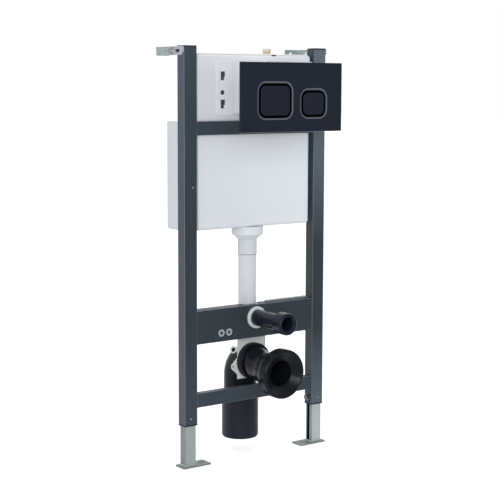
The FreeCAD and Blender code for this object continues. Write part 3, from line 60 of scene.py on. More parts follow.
# Sizes in metres that the panel leaves alone
COVER_SLOT_SIDE = 0.1162  # outer edge of the cover's slots from the middle
COVER_SLOT_PARTS = (  # inner edge from the middle, lower and upper end from the slot's middle
    (0.1031, -0.0023, 0.0113),
    (0.1061, -0.0113, -0.0027),
)
WINDOWS = (  # trim, and its window's left, lower, right and upper side
    ("full_flush_trim", (-0.1066, 0.926, -0.0008, 1.014)),
    ("half_flush_trim", (0.0311, 0.9273, 0.1121, 0.9965)),
)
FLOOR_HALF = 30.0
FLOOR_DROP = 0.0005
STAGE_MIDDLE = Vector((0.0, 0.0, 0.55))
LAMPS = (  # name, place, size and the setting of its power
    ("key_lamp", (-2.0, -2.7, 1.5), 1.8, "key_power"),
    ("side_lamp", (-3.0, 0.6, 1.4), 1.6, "side_power"),
)
CAMERA_PLACE = (-2.1286, -2.8708, 1.0085)
CAMERA_TURNS = (36.41, 7.06, 0.16)  # yaw, pitch and roll in degrees


def shaded(colour, factor, tint=(1.0, 1.0, 1.0)):
    return tuple(min(1.0, channel * factor * share) for channel, share in zip(colour, tint))


def length_setting(name, description, default, low=0.0, high=5.0):
    return FloatProperty(
        name=name, description=description, default=default, min=low, max=high,
        subtype="DISTANCE", unit="LENGTH", precision=4,
    )


def share_setting(name, description, default):
    return FloatProperty(
        name=name, description=description, default=default, min=0.0, max=1.0, subtype="FACTOR",
    )


def colour_setting(name, description, default):
    return FloatVectorProperty(
        name=name, description=description, default=default, min=0.0, max=1.0,
        size=3, subtype="COLOR",
    )


class SteelSettings(PropertyGroup):
    paint_colour: colour_setting("Paint", "Powder coat of the uprights and crossbars",
                                 (0.033, 0.049, 0.065))
    # Colour of the painted highlight along the rounded corners.
    paint_corner_highlight: colour_setting("Corner highlight", "Painted highlight on the rounded corners",
                                      (0.19, 0.205, 0.24))
    paint_roughness: share_setting("Paint roughness", "Roughness of the powder coat", 0.42)
    zinc_colour: colour_setting("Galvanised steel", "Zinc layer of legs and brackets",
                                shaded(record_colours["galvanised_steel"], 1.0,
                                       (0.95, 1.0, 1.06)))
    fastener_colour: colour_setting("Fasteners", "Plated bolts, nuts and rivets",
                                    record_colours["zinc_fasteners"])
    spangle: length_setting("Spangle", "Width of one zinc crystal", 0.006, 0.001, 0.05)
    bracket_slot_front: length_setting(
        "Bracket slot", "Front end of the bracket plate's slot", 0.0008)
    rivet_radius: length_setting("Rivet radius", "Radius of a rivet head", 0.003, 0.001, 0.01)
    rivet_dome: length_setting("Rivet dome", "How far a rivet head stands out",
                               0.0014, 0.0, 0.01)
    upper_rivet_across: length_setting("Upper rivet across", "Upper rivet from the middle",
                                       0.207)
    upper_rivet_up: length_setting("Upper rivet height", "Upper rivet above the floor", 0.745)
    lower_rivet_across: length_setting("Lower rivet across", "Lower rivet from the middle",
                                       0.2155)
    lower_rivet_up: length_setting("Lower rivet height", "Lower rivet above the floor", 0.132)
    bead_radius: length_setting("Weld bead", "Radius of the weld beads", 0.0016, 0.0002, 0.01)
    stud_near: length_setting("Near stud", "Near stud nut from the middle", 0.090)
    stud_far: length_setting("Far stud", "Far stud nut from the middle", 0.115)
    thread_radius: length_setting("Stud thread", "Radius of a stud nut's thread", 0.0051)


class CisternSettings(PropertyGroup):
    tank_colour: colour_setting("Cistern", "Moulded plastic of tank and hood",
                                (0.72, 0.76, 0.80))
    cover_colour: colour_setting("Cover", "Plastic of the plate on the hood",
                                 (0.77, 0.79, 0.83))
    shade_colour: colour_setting("Openings", "What shows in slots and holes",
                                 (0.03, 0.045, 0.05))
    brass_colour: colour_setting("Inlet", "Brass of the water inlet", (0.74, 0.56, 0.36))
    thread_pitch: length_setting("Thread pitch", "Distance between thread ridges",
                                 0.0018, 0.0005, 0.01)
    latch_width: length_setting("Latch width", "Width of the small catch on the hood", 0.0125)
    latch_across: length_setting("Latch across", "Middle of the catch from the middle", 0.061)
    upper_slot: length_setting("Upper slot", "Upper slots above the cover's lower edge", 0.1023)
    lower_slot: length_setting("Lower slot", "Lower slots above the cover's lower edge", 0.0290)
    cover_hole: length_setting("Hole", "Round holes above the cover's lower edge", 0.059)
    cover_hole_across: length_setting("Hole across", "Round holes from the middle", 0.111)
    cover_hole_radius: length_setting("Hole radius", "Radius of the round holes", 0.0063)


class PlateSettings(PropertyGroup):
    plate_colour: colour_setting("Flush plate", "Plastic of plate and buttons",
                                 (0.0062, 0.0112, 0.0270))
    trim_colour: colour_setting("Button trim", "Satin trim round each button",
                                (0.105, 0.116, 0.142))
    plate_roughness: share_setting("Plate roughness", "Roughness of plate and buttons", 0.38)
    trim_width: length_setting("Trim width", "Width of the trim's slope", 0.0040)
    trim_depth: length_setting("Trim depth", "Depth of the trim's slope", 0.0013)
    bezel_width: length_setting("Bezel", "Slope from the plate's face to a window", 0.0054)
    trim_step: length_setting("Trim step", "Trim inside the slope's outer edge", 0.0008)
    window_radius: length_setting("Window radius", "Corner radius of the windows", 0.021)


class PipeSettings(PropertyGroup):
    pipe_colour: colour_setting("Black pipes", "Plastic of the black pipes",
                                (0.0082, 0.0101, 0.0142))
    rubber_colour: colour_setting("Seals", "Rubber of seals and lips", (0.0042, 0.0047, 0.0062))
    support_colour: colour_setting("Supports", "Plastic of clamp and collar",
                                   (0.70, 0.74, 0.72))
    pipe_roughness: share_setting("Pipe roughness", "Roughness of the black pipes", 0.24)
    lip_radius: length_setting("Lip", "Radius of the rubber lips", 0.0014, 0.0003, 0.01)
    ear_across: length_setting("Ear", "Hole in the clamp's ear from the middle", 0.061)
    ear_rise: length_setting("Ear height", "That hole above the drain's axis", 0.036)
    ear_radius: length_setting("Ear hole", "Radius of that hole", 0.0060)
    lug_across: length_setting("Lugs", "Holes in the clamp's lugs from the middle", 0.062)
    lug_drop: length_setting("Lug height", "Those holes below the drain's axis", 0.011)
    lug_radius: length_setting("Lug holes", "Radius of those holes", 0.0025)


class StageSettings(PropertyGroup):
    floor_colour: colour_setting("Floor", "Colour of the floor", (0.86, 0.86, 0.86))
    key_power: FloatProperty(name="Key light", description="Power of the large front lamp",
                             default=36.0, min=0.0, unit="POWER")
    side_power: FloatProperty(name="Side light", description="Power of the left lamp",
                              default=6.0, min=0.0, unit="POWER")
    room_light: share_setting("Room light", "Strength of the light from all round", 0.78)
    front_light: share_setting("Front light", "What surfaces reflect from the front", 0.20)
    left_light: share_setting("Left light", "What surfaces reflect from the left", 0.35)
    lens: FloatProperty(name="Lens", description="Focal length of the camera",
                        default=95.66, min=10.0, max=300.0, subtype="DISTANCE_CAMERA")


class ToiletFrameSettings(PropertyGroup):
    steel: PointerProperty(type=SteelSettings)
    cistern: PointerProperty(type=CisternSettings)
    plate: PointerProperty(type=PlateSettings)
    pipes: PointerProperty(type=PipeSettings)
    stage: PointerProperty(type=StageSettings)


# Finishes

def feed(tree, socket, value):
    """Links an input to another node, or sets a plain value."""
    if isinstance(value, bpy.types.NodeSocket):
        tree.links.new(value, socket)
    else:
        socket.default_value = value


def put(tree, kind, inputs=None, **settings):
    """Adds a node. Its inputs are given by name or by number."""
    node = tree.nodes.new("ShaderNode" + kind)
    for name, value in settings.items():
        setattr(node, name, value)
    for name, value in (inputs or {}).items():
        feed(tree, node.inputs[name], value)
    return node


def blank_finish(name):
    finish = bpy.data.materials.new(name)
    finish.use_nodes = True
    finish.node_tree.nodes.clear()
    return finish, finish.node_tree


def placed_pattern(tree, stretch=(1.0, 1.0, 1.0)):
    """Object coordinates for a pattern, drawn out where stretch is under one."""
    place = put(tree, "TexCoord").outputs["Object"]
    return put(tree, "Mapping", {"Vector": place, "Scale": stretch}).outputs["Vector"]


def object_place(tree):
    """A point's place in the frame, as three numbers."""
    return put(tree, "SeparateXYZ", {"Vector": put(tree, "TexCoord").outputs["Object"]}).outputs


def face_direction(tree):
    """Where a face looks, as three numbers."""
    return put(tree, "SeparateXYZ", {"Vector": true_normal(tree)}).outputs


def grain(tree, place, scale, detail=3.0, roughness=0.55):
    """Noise from nought to one."""
    return put(tree, "TexNoise", {"Vector": place, "Scale": scale, "Detail": detail,
                                  "Roughness": roughness}).outputs["Fac"]


def ranged(tree, value, low, high, from_low=0.3, from_high=0.7):
    """Brings a value from one range to another and keeps it there."""
    return put(tree, "MapRange", {"Value": value, "From Min": from_low, "From Max": from_high,
                                  "To Min": low, "To Max": high}).outputs["Result"]


def mixed(tree, share, first, second):
    """A mix of two colours."""
    first, second = (colour if isinstance(colour, bpy.types.NodeSocket) else (*colour, 1.0)
                     for colour in (first, second))
    return put(tree, "Mix", {0: share, 6: first, 7: second}, data_type="RGBA").outputs[2]


def combined(tree, operation, first, second):
    """A sum, product and the like of two numbers."""
    return put(tree, "Math", {0: first, 1: second}, operation=operation).outputs[0]


def rounded_normal(tree, radius):
    """The direction of a face, softened at its edges."""
    return put(tree, "Bevel", {"Radius": radius}, samples=6).outputs["Normal"]


def true_normal(tree):
    """The direction of a face without that softening."""
    return put(tree, "NewGeometry").outputs["Normal"]


def edge_share(tree, soft_normal, strength):
    """How near a point is to a bent or cut edge, from 0 to strength."""
    facing = put(tree, "VectorMath", {0: soft_normal, 1: true_normal(tree)},
                 operation="DOT_PRODUCT")
    return ranged(tree, facing.outputs["Value"], strength, 0.0, 0.80, 0.995)


def corner_share(tree, strength):
    """How far a face turns away from the main directions, as rounded corners do."""
    sizes = put(tree, "VectorMath", {0: true_normal(tree)}, operation="ABSOLUTE")
    parts = put(tree, "SeparateXYZ", {"Vector": sizes.outputs["Vector"]}).outputs
    largest = combined(tree, "MAXIMUM", parts["X"],
                       combined(tree, "MAXIMUM", parts["Y"], parts["Z"]))
    return ranged(tree, largest, strength, 0.0, 0.80, 0.97)


def side_share(tree, strength):
    """How far a face looks along X."""
    facing = combined(tree, "ABSOLUTE", face_direction(tree)["X"], 0.0)
    return ranged(tree, facing, 0.0, strength, 0.5, 0.9)


def depth_share(tree, start, end):
    """One behind a plane and nought before it, along Y."""
    return ranged(tree, object_place(tree)["Y"], 0.0, 1.0, start, end)


def under_share(tree, strength):
    """How far a rounded face turns down."""
    return ranged(tree, face_direction(tree)["Z"], strength, 0.0, -0.45, -0.15)


def upper_share(tree, strength):
    """How far a face turns up."""
    return ranged(tree, face_direction(tree)["Z"], 0.0, strength, 0.2, 0.7)


def outer_share(tree, strength):
    """How far a face looks away from the frame's middle plane."""
    outward = combined(tree, "MULTIPLY", face_direction(tree)["X"],
                       object_place(tree)["X"])
    return ranged(tree, outward, 0.0, strength, 0.05, 0.20)


def end_share(tree, middle, near, far):
    """Nought round a height and one far above and below it."""
    away = combined(tree, "SUBTRACT", object_place(tree)["Z"], middle)
    return ranged(tree, combined(tree, "ABSOLUTE", away, 0.0), 0.0, 1.0, near, far)


def right_front_painted_light(tree, middle=0.45, near=0.12, far=0.46, inner_side=0.194):
    """How far the right upright's front lies above or below its middle: the share of its
    painted light.
    """
    ends = end_share(tree, middle, near, far)
    front = ranged(tree, face_direction(tree)["Y"], 1.0, 0.0, -0.9, -0.5)
    right = ranged(tree, object_place(tree)["X"], 0.0, 1.0,
                   inner_side - 0.002, inner_side + 0.002)
    return combined(tree, "MULTIPLY", ends, combined(tree, "MULTIPLY", front, right))


def hollow_share(tree, low, high, wall):
    """One on the inner faces of a hollow post and of its mirror image, else nought."""
    place = object_place(tree)
    across = combined(tree, "ABSOLUTE", place["X"], 0.0)
    depth = combined(tree, "ABSOLUTE", place["Y"], 0.0)
    inside = combined(tree, "MINIMUM", combined(tree, "SUBTRACT", across, low.x + wall),
                      combined(tree, "SUBTRACT", high.x - wall, across))
    inside = combined(tree, "MINIMUM", inside, combined(tree, "SUBTRACT", high.y - wall, depth))
    return ranged(tree, inside, 0.0, 1.0, 0.0, 0.0002)


def bumped(tree, height, distance, strength, under):
    """A surface's direction with its fine unevenness."""
    return put(tree, "Bump", {"Distance": distance, "Strength": strength, "Height": height,
                              "Normal": under}).outputs["Normal"]


def surface(tree, colour, roughness, normal, metallic=0.0, shine=0.5):
    """The shader of a finish."""
    shader = put(tree, "BsdfPrincipled", {
        "Base Color": colour, "Roughness": roughness, "Normal": normal, "Metallic": metallic,
        "Specular IOR Level": shine})
    put(tree, "OutputMaterial", {"Surface": shader.outputs["BSDF"]})


def clouded(tree, place, scale, colour, dark, pale):
    """A colour in soft clouds between two shades of it."""
    cloud = ranged(tree, grain(tree, place, scale), 0.0, 1.0)
    return mixed(tree, cloud, shaded(colour, dark), shaded(colour, pale))


def powder_coat(name, colour, corner_highlight, roughness):
    """Paint with painted light and shade: lighter at the uprights' ends and darker in their
    middles, lighter on their outer sides and on the right upright's front away from its middle,
    with a painted highlight on rounded corners; paler on bent edges too.
    """
    finish, tree = blank_finish(name)
    place = placed_pattern(tree)
    long_place = placed_pattern(tree, (1.0, 1.0, 0.08))
    soft = rounded_normal(tree, 0.0022)
    # Painted light and shade: lit copies of the paint towards the ends, a shaded copy round the
    # middle.
    base = mixed(tree, end_share(tree, 0.55, 0.16, 0.46),
                 clouded(tree, place, 9.0, colour, 0.74, 0.88),
                 clouded(tree, place, 9.0, colour, 1.12, 1.30))
    streak = ranged(tree, grain(tree, long_place, 55.0), 0.0, 0.25)
    base = mixed(tree, streak, base, shaded(colour, 1.35))
    # Painted light: the right upright's front is much lighter away from its middle.
    base = mixed(tree, right_front_painted_light(tree), base, shaded(colour, 3.8, (1.0, 0.86, 0.83)))
    # Painted light: faces that look away from the middle plane are lighter.
    base = mixed(tree, outer_share(tree, 0.55), base, shaded(colour, 2.0, (1.10, 0.98, 1.04)))
    base = mixed(tree, edge_share(tree, soft, 0.75), base, shaded(colour, 1.8))
    # Painted highlight along the rounded corners, in the corner highlight colour.
    base = mixed(tree, corner_share(tree, 0.85), base, corner_highlight)
    rough = ranged(tree, grain(tree, place, 30.0), roughness - 0.06, roughness + 0.06)
    peel = grain(tree, place, 800.0, 2.0)
    surface(tree, base, rough, bumped(tree, peel, 0.00012, 0.35, soft))
    return finish


def zinc_layer(name, colour, spangle, roughness=0.46, metallic=0.55, contrast=0.10,
               hollow=None, bead=None):
    """Galvanised steel, lighter on a weld bead over a plate. Given a hollow post, it gets
    painted shade: darker sides and nearly black inner faces.
    """
    finish, tree = blank_finish(name)
    place = placed_pattern(tree)
    long_place = placed_pattern(tree, (1.0, 1.0, 0.05))
    soft = rounded_normal(tree, 0.0014)
    crystals = put(tree, "TexVoronoi", {"Vector": place, "Scale": 1.0 / spangle,
                                        "Randomness": 1.0})
    grey = put(tree, "RGBToBW", {"Color": crystals.outputs["Color"]})
    facet = ranged(tree, grey.outputs["Val"], 0.0, 1.0, 0.2, 0.8)
    base = mixed(tree, facet, shaded(colour, 1.0 - contrast), shaded(colour, 1.0 + contrast))
    streak = ranged(tree, grain(tree, long_place, 70.0), 0.0, 3.0 * contrast)
    base = mixed(tree, streak, base, shaded(colour, 0.72))
    base = mixed(tree, edge_share(tree, soft, 0.6), base, shaded(colour, 1.45))
    if bead is not None:
        over = ranged(tree, object_place(tree)["Z"], 0.0, 1.0, bead, bead + 0.001)
        base = mixed(tree, over, base, shaded(colour, 1.7))
    if hollow is not None:
        # Painted shade: darker side faces, and nearly black inside the hollow post.
        base = mixed(tree, side_share(tree, 0.8), base, shaded(colour, 0.58))
        base = mixed(tree, hollow_share(tree, *hollow, 0.001), base, (0.004, 0.005, 0.006))
    rough = ranged(tree, grain(tree, place, 60.0), roughness - 0.08, roughness + 0.10)
    height = grain(tree, place, 420.0, 3.0)
    surface(tree, base, rough, bumped(tree, height, 0.00012, 0.25, soft), metallic)
    return finish


def plated_steel(name, colour, roughness=0.30, metallic=0.9):
    """Plated or bare metal with fine scratches."""
    finish, tree = blank_finish(name)
    place = placed_pattern(tree)
    soft = rounded_normal(tree, 0.0006)
    base = clouded(tree, place, 160.0, colour, 0.82, 1.15)
    base = mixed(tree, edge_share(tree, soft, 0.6), base, shaded(colour, 1.5))
    rough = ranged(tree, grain(tree, place, 400.0), roughness - 0.06, roughness + 0.14)
    scratch = grain(tree, placed_pattern(tree, (1.0, 0.1, 1.0)), 2200.0, 2.0)
    surface(tree, base, rough, bumped(tree, scratch, 0.00005, 0.3, soft), metallic)
    return finish


def cistern_light(tree, base, colour, middle, near, far, factor, half_wide=0.19):
    """Painted light and shade on a cistern: paler at its ends, right and top, darker at its
    left and back.
    """
    base = mixed(tree, end_share(tree, middle, near, far), base, shaded(colour, factor))
    across = object_place(tree)["X"]
    left = ranged(tree, across, 0.8, 0.0, -half_wide, 0.0)
    base = mixed(tree, left, base, shaded(colour, 0.95))
    right = ranged(tree, across, 0.0, 0.8, -0.05, half_wide)
    base = mixed(tree, right, base, shaded(colour, 1.14))
    base = mixed(tree, depth_share(tree, 0.090, 0.132), base, shaded(colour, 0.88))
    return mixed(tree, upper_share(tree, 0.9), base, (0.95, 0.96, 0.97))


def moulded_plastic(name, colour, roughness=0.42, spread=0.03, fine=900.0, depth=0.00008,
                    edge_radius=0.0012, light_ends=None):
    """Pale plastic with flow marks. What light_ends holds is for cistern_light, the painted
    light and shade.
    """
    finish, tree = blank_finish(name)
    place = placed_pattern(tree)
    long_place = placed_pattern(tree, (1.0, 1.0, 0.15))
    soft = rounded_normal(tree, edge_radius)
    base = clouded(tree, place, 7.0, colour, 1.0 - spread, 1.0 + spread)
    flow = ranged(tree, grain(tree, long_place, 26.0), 0.0, 0.35)
    base = mixed(tree, flow, base, shaded(colour, 1.0 - 2.0 * spread))
    if light_ends is not None:
        base = cistern_light(tree, base, colour, *light_ends)
    base = mixed(tree, edge_share(tree, soft, 0.25), base, shaded(colour, 1.12))
    rough = ranged(tree, grain(tree, place, 40.0), roughness - 0.05, roughness + 0.06)
    skin = grain(tree, place, fine, 3.0)
    surface(tree, base, rough, bumped(tree, skin, depth, 0.35, soft))
    return finish


def black_moulding(name, colour, roughness, edge_radius=0.0012, fine=500.0, depth=0.00006,
                   shine=0.5):
    """Dark plastic or rubber with specks of dust."""
    finish, tree = blank_finish(name)
    place = placed_pattern(tree)
    soft = rounded_normal(tree, edge_radius)
    base = clouded(tree, place, 12.0, colour, 0.8, 1.25)
    dust = ranged(tree, grain(tree, place, 260.0, 5.0, 0.7), 0.0, 0.15, 0.55, 0.8)
    base = mixed(tree, dust, base, shaded(colour, 2.2))
    base = mixed(tree, edge_share(tree, soft, 0.35), base, shaded(colour, 2.6))
    rough = ranged(tree, grain(tree, place, 45.0), roughness - 0.05, roughness + 0.08)
    skin = grain(tree, place, fine, 3.0)
    surface(tree, base, rough, bumped(tree, skin, depth, 0.35, soft), shine=shine)
    return finish


def satin_plate(name, colour, roughness, front, lower_highlight=0.9):
    """Satin plastic with painted shade, black down in the grooves round the buttons, and a
    painted highlight on faces that turn down.
    """
    finish, tree = blank_finish(name)
    place = placed_pattern(tree)
    soft = rounded_normal(tree, 0.0006)
    base = clouded(tree, place, 5.0, colour, 0.88, 1.12)
    base = mixed(tree, edge_share(tree, soft, 0.55), base, shaded(colour, 0.6))
    # Painted highlight on faces that turn down, along the plate's lower edge.
    base = mixed(tree, under_share(tree, lower_highlight), base, (0.22, 0.24, 0.27))
    # Painted shade: black and without shine down in the grooves.
    groove_shade = depth_share(tree, front + 0.0008, front + 0.0018)
    base = mixed(tree, groove_shade, base, (0.0006, 0.0007, 0.0010))
    rough = ranged(tree, grain(tree, place, 35.0), roughness - 0.04, roughness + 0.05)
    skin = grain(tree, place, 1500.0, 2.0)
    mirror = ranged(tree, groove_shade, 0.5, 0.02, 0.0, 1.0)
    surface(tree, base, rough, bumped(tree, skin, 0.00003, 0.3, soft), shine=mirror)
    return finish


def dress(finish, *nodes):
    """Gives nodes of the model their finish."""
    for node in nodes:
        slots = frame["nodes"][node].data.materials
        slots.clear()
        slots.append(finish)


# Small parts

def box_middle(node):
    low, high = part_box(node)
    return (low + high) / 2.0


def made_piece(name, form, body, finish, sharp=math.radians(38.0)):
    """Makes an object of a mesh, which moves with a body."""
    for face in form.faces:
        face.smooth = True
    for edge in form.edges:
        if len(edge.link_faces) == 2 and edge.calc_face_angle(0.0) > sharp:
            edge.smooth = False
    mesh = bpy.data.meshes.new(name)
    form.to_mesh(mesh)
    form.free()
    mesh.materials.append(finish)
    piece = bpy.data.objects.new(name, mesh)
    bpy.context.scene.collection.objects.link(piece)
    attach(piece, body)


def turned_form(form, profile, place, axis, steps=64, ring=True):
    """Turns a profile of (radius, height) points round an axis, as a lathe does."""
    before = set(form.verts)
    points = [form.verts.new((radius, 0.0, along)) for radius, along in profile]
    pairs = list(zip(points, points[1:]))
    if ring:
        pairs.append((points[-1], points[0]))
    edges = [form.edges.new(pair) for pair in pairs]
    bmesh.ops.spin(
        form, geom=points + edges, cent=(0.0, 0.0, 0.0), axis=(0.0, 0.0, 1.0),
        angle=math.tau, steps=steps, use_merge=True,
    )
    turned = [vertex for vertex in form.verts if vertex not in before]
    bmesh.ops.remove_doubles(form, verts=turned, dist=1e-7)
    turned = [vertex for vertex in form.verts if vertex not in before]
    faces = {face for vertex in turned for face in vertex.link_faces}
    bmesh.ops.recalc_face_normals(form, faces=list(faces))
    turn = UP.rotation_difference(Vector(axis)).to_matrix().to_4x4()
    bmesh.ops.transform(form, matrix=Matrix.Translation(place) @ turn, verts=turned)


def domed_head(form, place, axis, radius, height, sunk=0.0004):
    """A rivet's head."""
    rim = 0.25 * height
    profile = [(0.0, -sunk), (radius, -sunk), (radius, rim)]
    profile += [
        (radius * math.cos(angle), rim + (height - rim) * math.sin(angle))
        for angle in (math.radians(step) for step in (20, 40, 60, 76))
    ]
    profile.append((0.0, height))
    turned_form(form, profile, place, axis, 24, ring=False)


def plug(form, place, axis, radius, length):
    """A short cylinder that closes a hole."""
    turned_form(form, [(0.0, 0.0), (radius, 0.0), (radius, length), (0.0, length)],
                place, axis, 40, ring=False)


def rounded_ring(form, middle, axis, radius, thickness, steps=72, sides=12):
    """A ring of round section."""
    profile = [
        (radius + thickness * math.cos(turn), thickness * math.sin(turn))
        for turn in (math.tau * side / sides for side in range(sides))
    ]
    turned_form(form, profile, middle, axis, steps)


def laid_bead(form, route, radius, ripple=0.12, wave=1.9, end_size=0.55, sides=8,
              step=0.0016):
    """A weld bead along a route of straight runs, with its small ripples."""
    route = [Vector(point) for point in route]
    stations = []
    for start, end in zip(route, route[1:]):
        count = max(2, int((end - start).length / step))
        along = (end - start).normalized()
        stations += [(start.lerp(end, i / count), along) for i in range(count)]
    stations.append((route[-1], (route[-1] - route[-2]).normalized()))
    made = bmesh.ops.create_circle(form, cap_ends=True, segments=sides, radius=radius)
    loop = made["verts"]
    last = Matrix.Identity(4)
    for index, (point, along) in enumerate(stations):
        size = 1.0 + ripple * math.sin(index * wave)
        if index in (0, len(stations) - 1):
            size = end_size
        turn = UP.rotation_difference(along).to_matrix().to_4x4()
        here = Matrix.Translation(point) @ turn @ Matrix.Diagonal((size, size, size, 1.0))
        if index:
            ends = [face for face in form.faces if all(v in loop for v in face.verts)]
            grown = bmesh.ops.extrude_face_region(form, geom=ends)
            bmesh.ops.delete(form, geom=ends, context="FACES_ONLY")
            loop = [item for item in grown["geom"] if isinstance(item, bmesh.types.BMVert)]
        bmesh.ops.transform(form, matrix=here @ last.inverted(), verts=loop)
        last = here
    bmesh.ops.recalc_face_normals(form, faces=form.faces)


def softened_block(form, low, high, radius, segments=3):
    """A block with rounded edges."""
    size = Vector(high) - Vector(low)
    place = Matrix.Translation((Vector(high) + Vector(low)) / 2.0)
    made = bmesh.ops.create_cube(form, size=1.0)
    bmesh.ops.transform(form, matrix=place @ Matrix.Diagonal((*size, 1.0)),
                        verts=made["verts"])
    edges = list({edge for vertex in made["verts"] for edge in vertex.link_edges})
    bmesh.ops.bevel(form, geom=edges, offset=radius, offset_type="OFFSET",
                    segments=segments, profile=0.5, affect="EDGES", material=-1)


def sloping_trim(form, left, low, right, high, radius, front, width, depth,
                 thickness=0.0003):
    """A closed ring round a window, whose front slopes inwards."""
    base = Matrix.Translation(((left + right) / 2.0, (low + high) / 2.0, 0.0))
    made = bmesh.ops.create_grid(form, x_segments=1, y_segments=1, size=0.5)
    stretch = Matrix.Diagonal((right - left, high - low, 1.0, 1.0))
    bmesh.ops.transform(form, matrix=base @ stretch, verts=made["verts"])
    bmesh.ops.bevel(form, geom=list(form.verts), offset=radius, offset_type="OFFSET",
                    segments=10, profile=0.5, affect="VERTICES", material=-1)
    middle = max(form.faces, key=lambda face: face.calc_area())
    bmesh.ops.inset_region(form, faces=[middle], thickness=width, depth=-depth,
                           use_boundary=True, use_even_offset=True)
    bmesh.ops.delete(form, geom=[middle], context="FACES_ONLY")
    grown = bmesh.ops.extrude_face_region(form, geom=list(form.faces))
    moved = [item for item in grown["geom"] if isinstance(item, bmesh.types.BMVert)]
    bmesh.ops.translate(form, vec=(0.0, 0.0, -thickness), verts=moved)
    bmesh.ops.recalc_face_normals(form, faces=list(form.faces))
    turn = Matrix.Rotation(math.radians(90.0), 4, "X")
    bmesh.ops.transform(form, matrix=Matrix.Translation((0.0, front, 0.0)) @ turn,
                        verts=list(form.verts))


class PieceOperator:
    """What the operators share. Each one's make does its work."""

    bl_options = {"REGISTER", "UNDO"}

    def execute(self, context):
        self.make(context.scene.toilet_frame)
        return {"FINISHED"}


class TOILETFRAME_OT_steel_frame(PieceOperator, Operator):
    """Powder coats the uprights and crossbars, with painted light, shade and corner highlights,
    and adds their rivets and welds
    """

    bl_idname = "toiletframe.steel_frame"
    bl_label = "Steel frame"

    def make(self, settings):
        steel = settings.steel
        paint = powder_coat("frame_powder_coat", steel.paint_colour, steel.paint_corner_highlight,
                            steel.paint_roughness)
        dress(paint, "left_upright", "right_upright", "top_crossbar", "pan_crossbar",
              "bottom_crossbar")
        black = black_moulding("upright_cap_plastic", (0.012, 0.012, 0.014), 0.45)
        dress(black, "left_upright_cap", "right_upright_cap", "left_leg_bush",
              "right_leg_bush")
        plating = plated_steel("rivet_plating", steel.fastener_colour, 0.26)
        for sign, side in SIDES:
            places = [(steel.lower_rivet_across, steel.lower_rivet_up)]
            if side == "left":
                places.append((steel.upper_rivet_across, steel.upper_rivet_up))
            rivets(side, sign, places, steel.rivet_radius, steel.rivet_dome, plating)
            bar_welds(side, sign, steel.bead_radius, paint)


def rivets(side, sign, places, radius, dome, finish):
    """The rivets in the front of an upright."""
    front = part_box(side + "_upright")[0].y
    heads = bmesh.new()
    for across, up in places:
        domed_head(heads, Vector((sign * across, front, up)), FRONT, radius, dome)
    made_piece(side + "_rivets", heads, "frame", finish)


def bar_welds(side, sign, radius, finish, margin=0.002):
    """The upright beads where the lower crossbars meet an upright."""
    inner = min(abs(value.x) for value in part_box(side + "_upright"))
    beads = bmesh.new()
    for bar in ("pan_crossbar", "bottom_crossbar"):
        low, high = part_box(bar)
        corner = (sign * inner, low.y)
        laid_bead(beads, [(*corner, low.z + margin), (*corner, high.z - margin)], radius)
    made_piece(side + "_bar_welds", beads, "frame", finish)


class TOILETFRAME_OT_legs(PieceOperator, Operator):
    """Galvanises the legs and foot plates, with painted light and shade on the legs"""

    bl_idname = "toiletframe.legs"
    bl_label = "Legs and feet"

    def make(self, settings):
        steel = settings.steel
        zinc = steel.zinc_colour
        foot_zinc = zinc_layer("foot_zinc", shaded(zinc, 0.73, (1.0, 1.01, 0.97)),
                               steel.spangle, metallic=0.4, bead=0.0042)
        # Painted light: each leg gets its own lit or shaded copy of the zinc, the right one
        # much lighter.
        for side, colour in (("left", shaded(zinc, 1.03, (0.98, 1.01, 0.94))),
                             ("right", shaded(zinc, 1.42, (1.0, 0.97, 0.94)))):
            leg_zinc_painted_light = zinc_layer(side + "_leg_zinc", colour, steel.spangle, metallic=0.25,
                                  contrast=0.04, hollow=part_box("right_leg"))
            dress(leg_zinc_painted_light, side + "_leg")
            dress(foot_zinc, side + "_foot_plate")


class TOILETFRAME_OT_fixings(PieceOperator, Operator):
    """Finishes brackets, bolts, stud nuts and the stiffening strip, and adds the nuts' threads
    and dark pieces of painted shade in the bracket slots and the nuts' bores
    """

    bl_idname = "toiletframe.fixings"
    bl_label = "Brackets and fixings"

    def make(self, settings):
        steel = settings.steel
        zinc = steel.zinc_colour
        arm_zinc = zinc_layer("bracket_arm_zinc", shaded(zinc, 1.20, (1.0, 1.03, 0.98)), 0.005)
        plate_zinc = zinc_layer("bracket_plate_zinc", (0.52, 0.53, 0.59), 0.004,
                                roughness=0.44, metallic=0.45, contrast=0.05)
        plating = plated_steel("bolt_plating", steel.fastener_colour)
        clamp_plating = plated_steel("clamp_bolt_plating", shaded(steel.fastener_colour, 0.55))
        nut_plating = plated_steel("stud_nut_plating", (0.54, 0.59, 0.61), roughness=0.34,
                                   metallic=0.3)
        dark = black_moulding("slot_shade", (0.006, 0.006, 0.008), 0.6)
        # Dark steel as painted shade inside the stud nuts' bores, on their threads and plugs.
        thread = plated_steel("thread_steel", (0.11, 0.125, 0.13), roughness=0.4,
                              metallic=0.4)
        dress(zinc_layer("strip_zinc", (0.33, 0.38, 0.37), steel.spangle), "stiffening_strip")
        for sign, side in SIDES:
            dress(arm_zinc, side + "_wall_bracket")
            dress(plate_zinc, side + "_bracket_plate")
            dress(plating, side + "_bracket_bolt")
            dress(clamp_plating, side + "_leg_clamp_bolt")
            dress(nut_plating, side + "_stud_nuts")
            # Painted shade in the bracket plate's slot.
            bracket_slot_shade(side, sign, steel.bracket_slot_front, dark)
            stud_threads(side, sign, (steel.stud_near, steel.stud_far), steel.thread_radius,
                         thread)


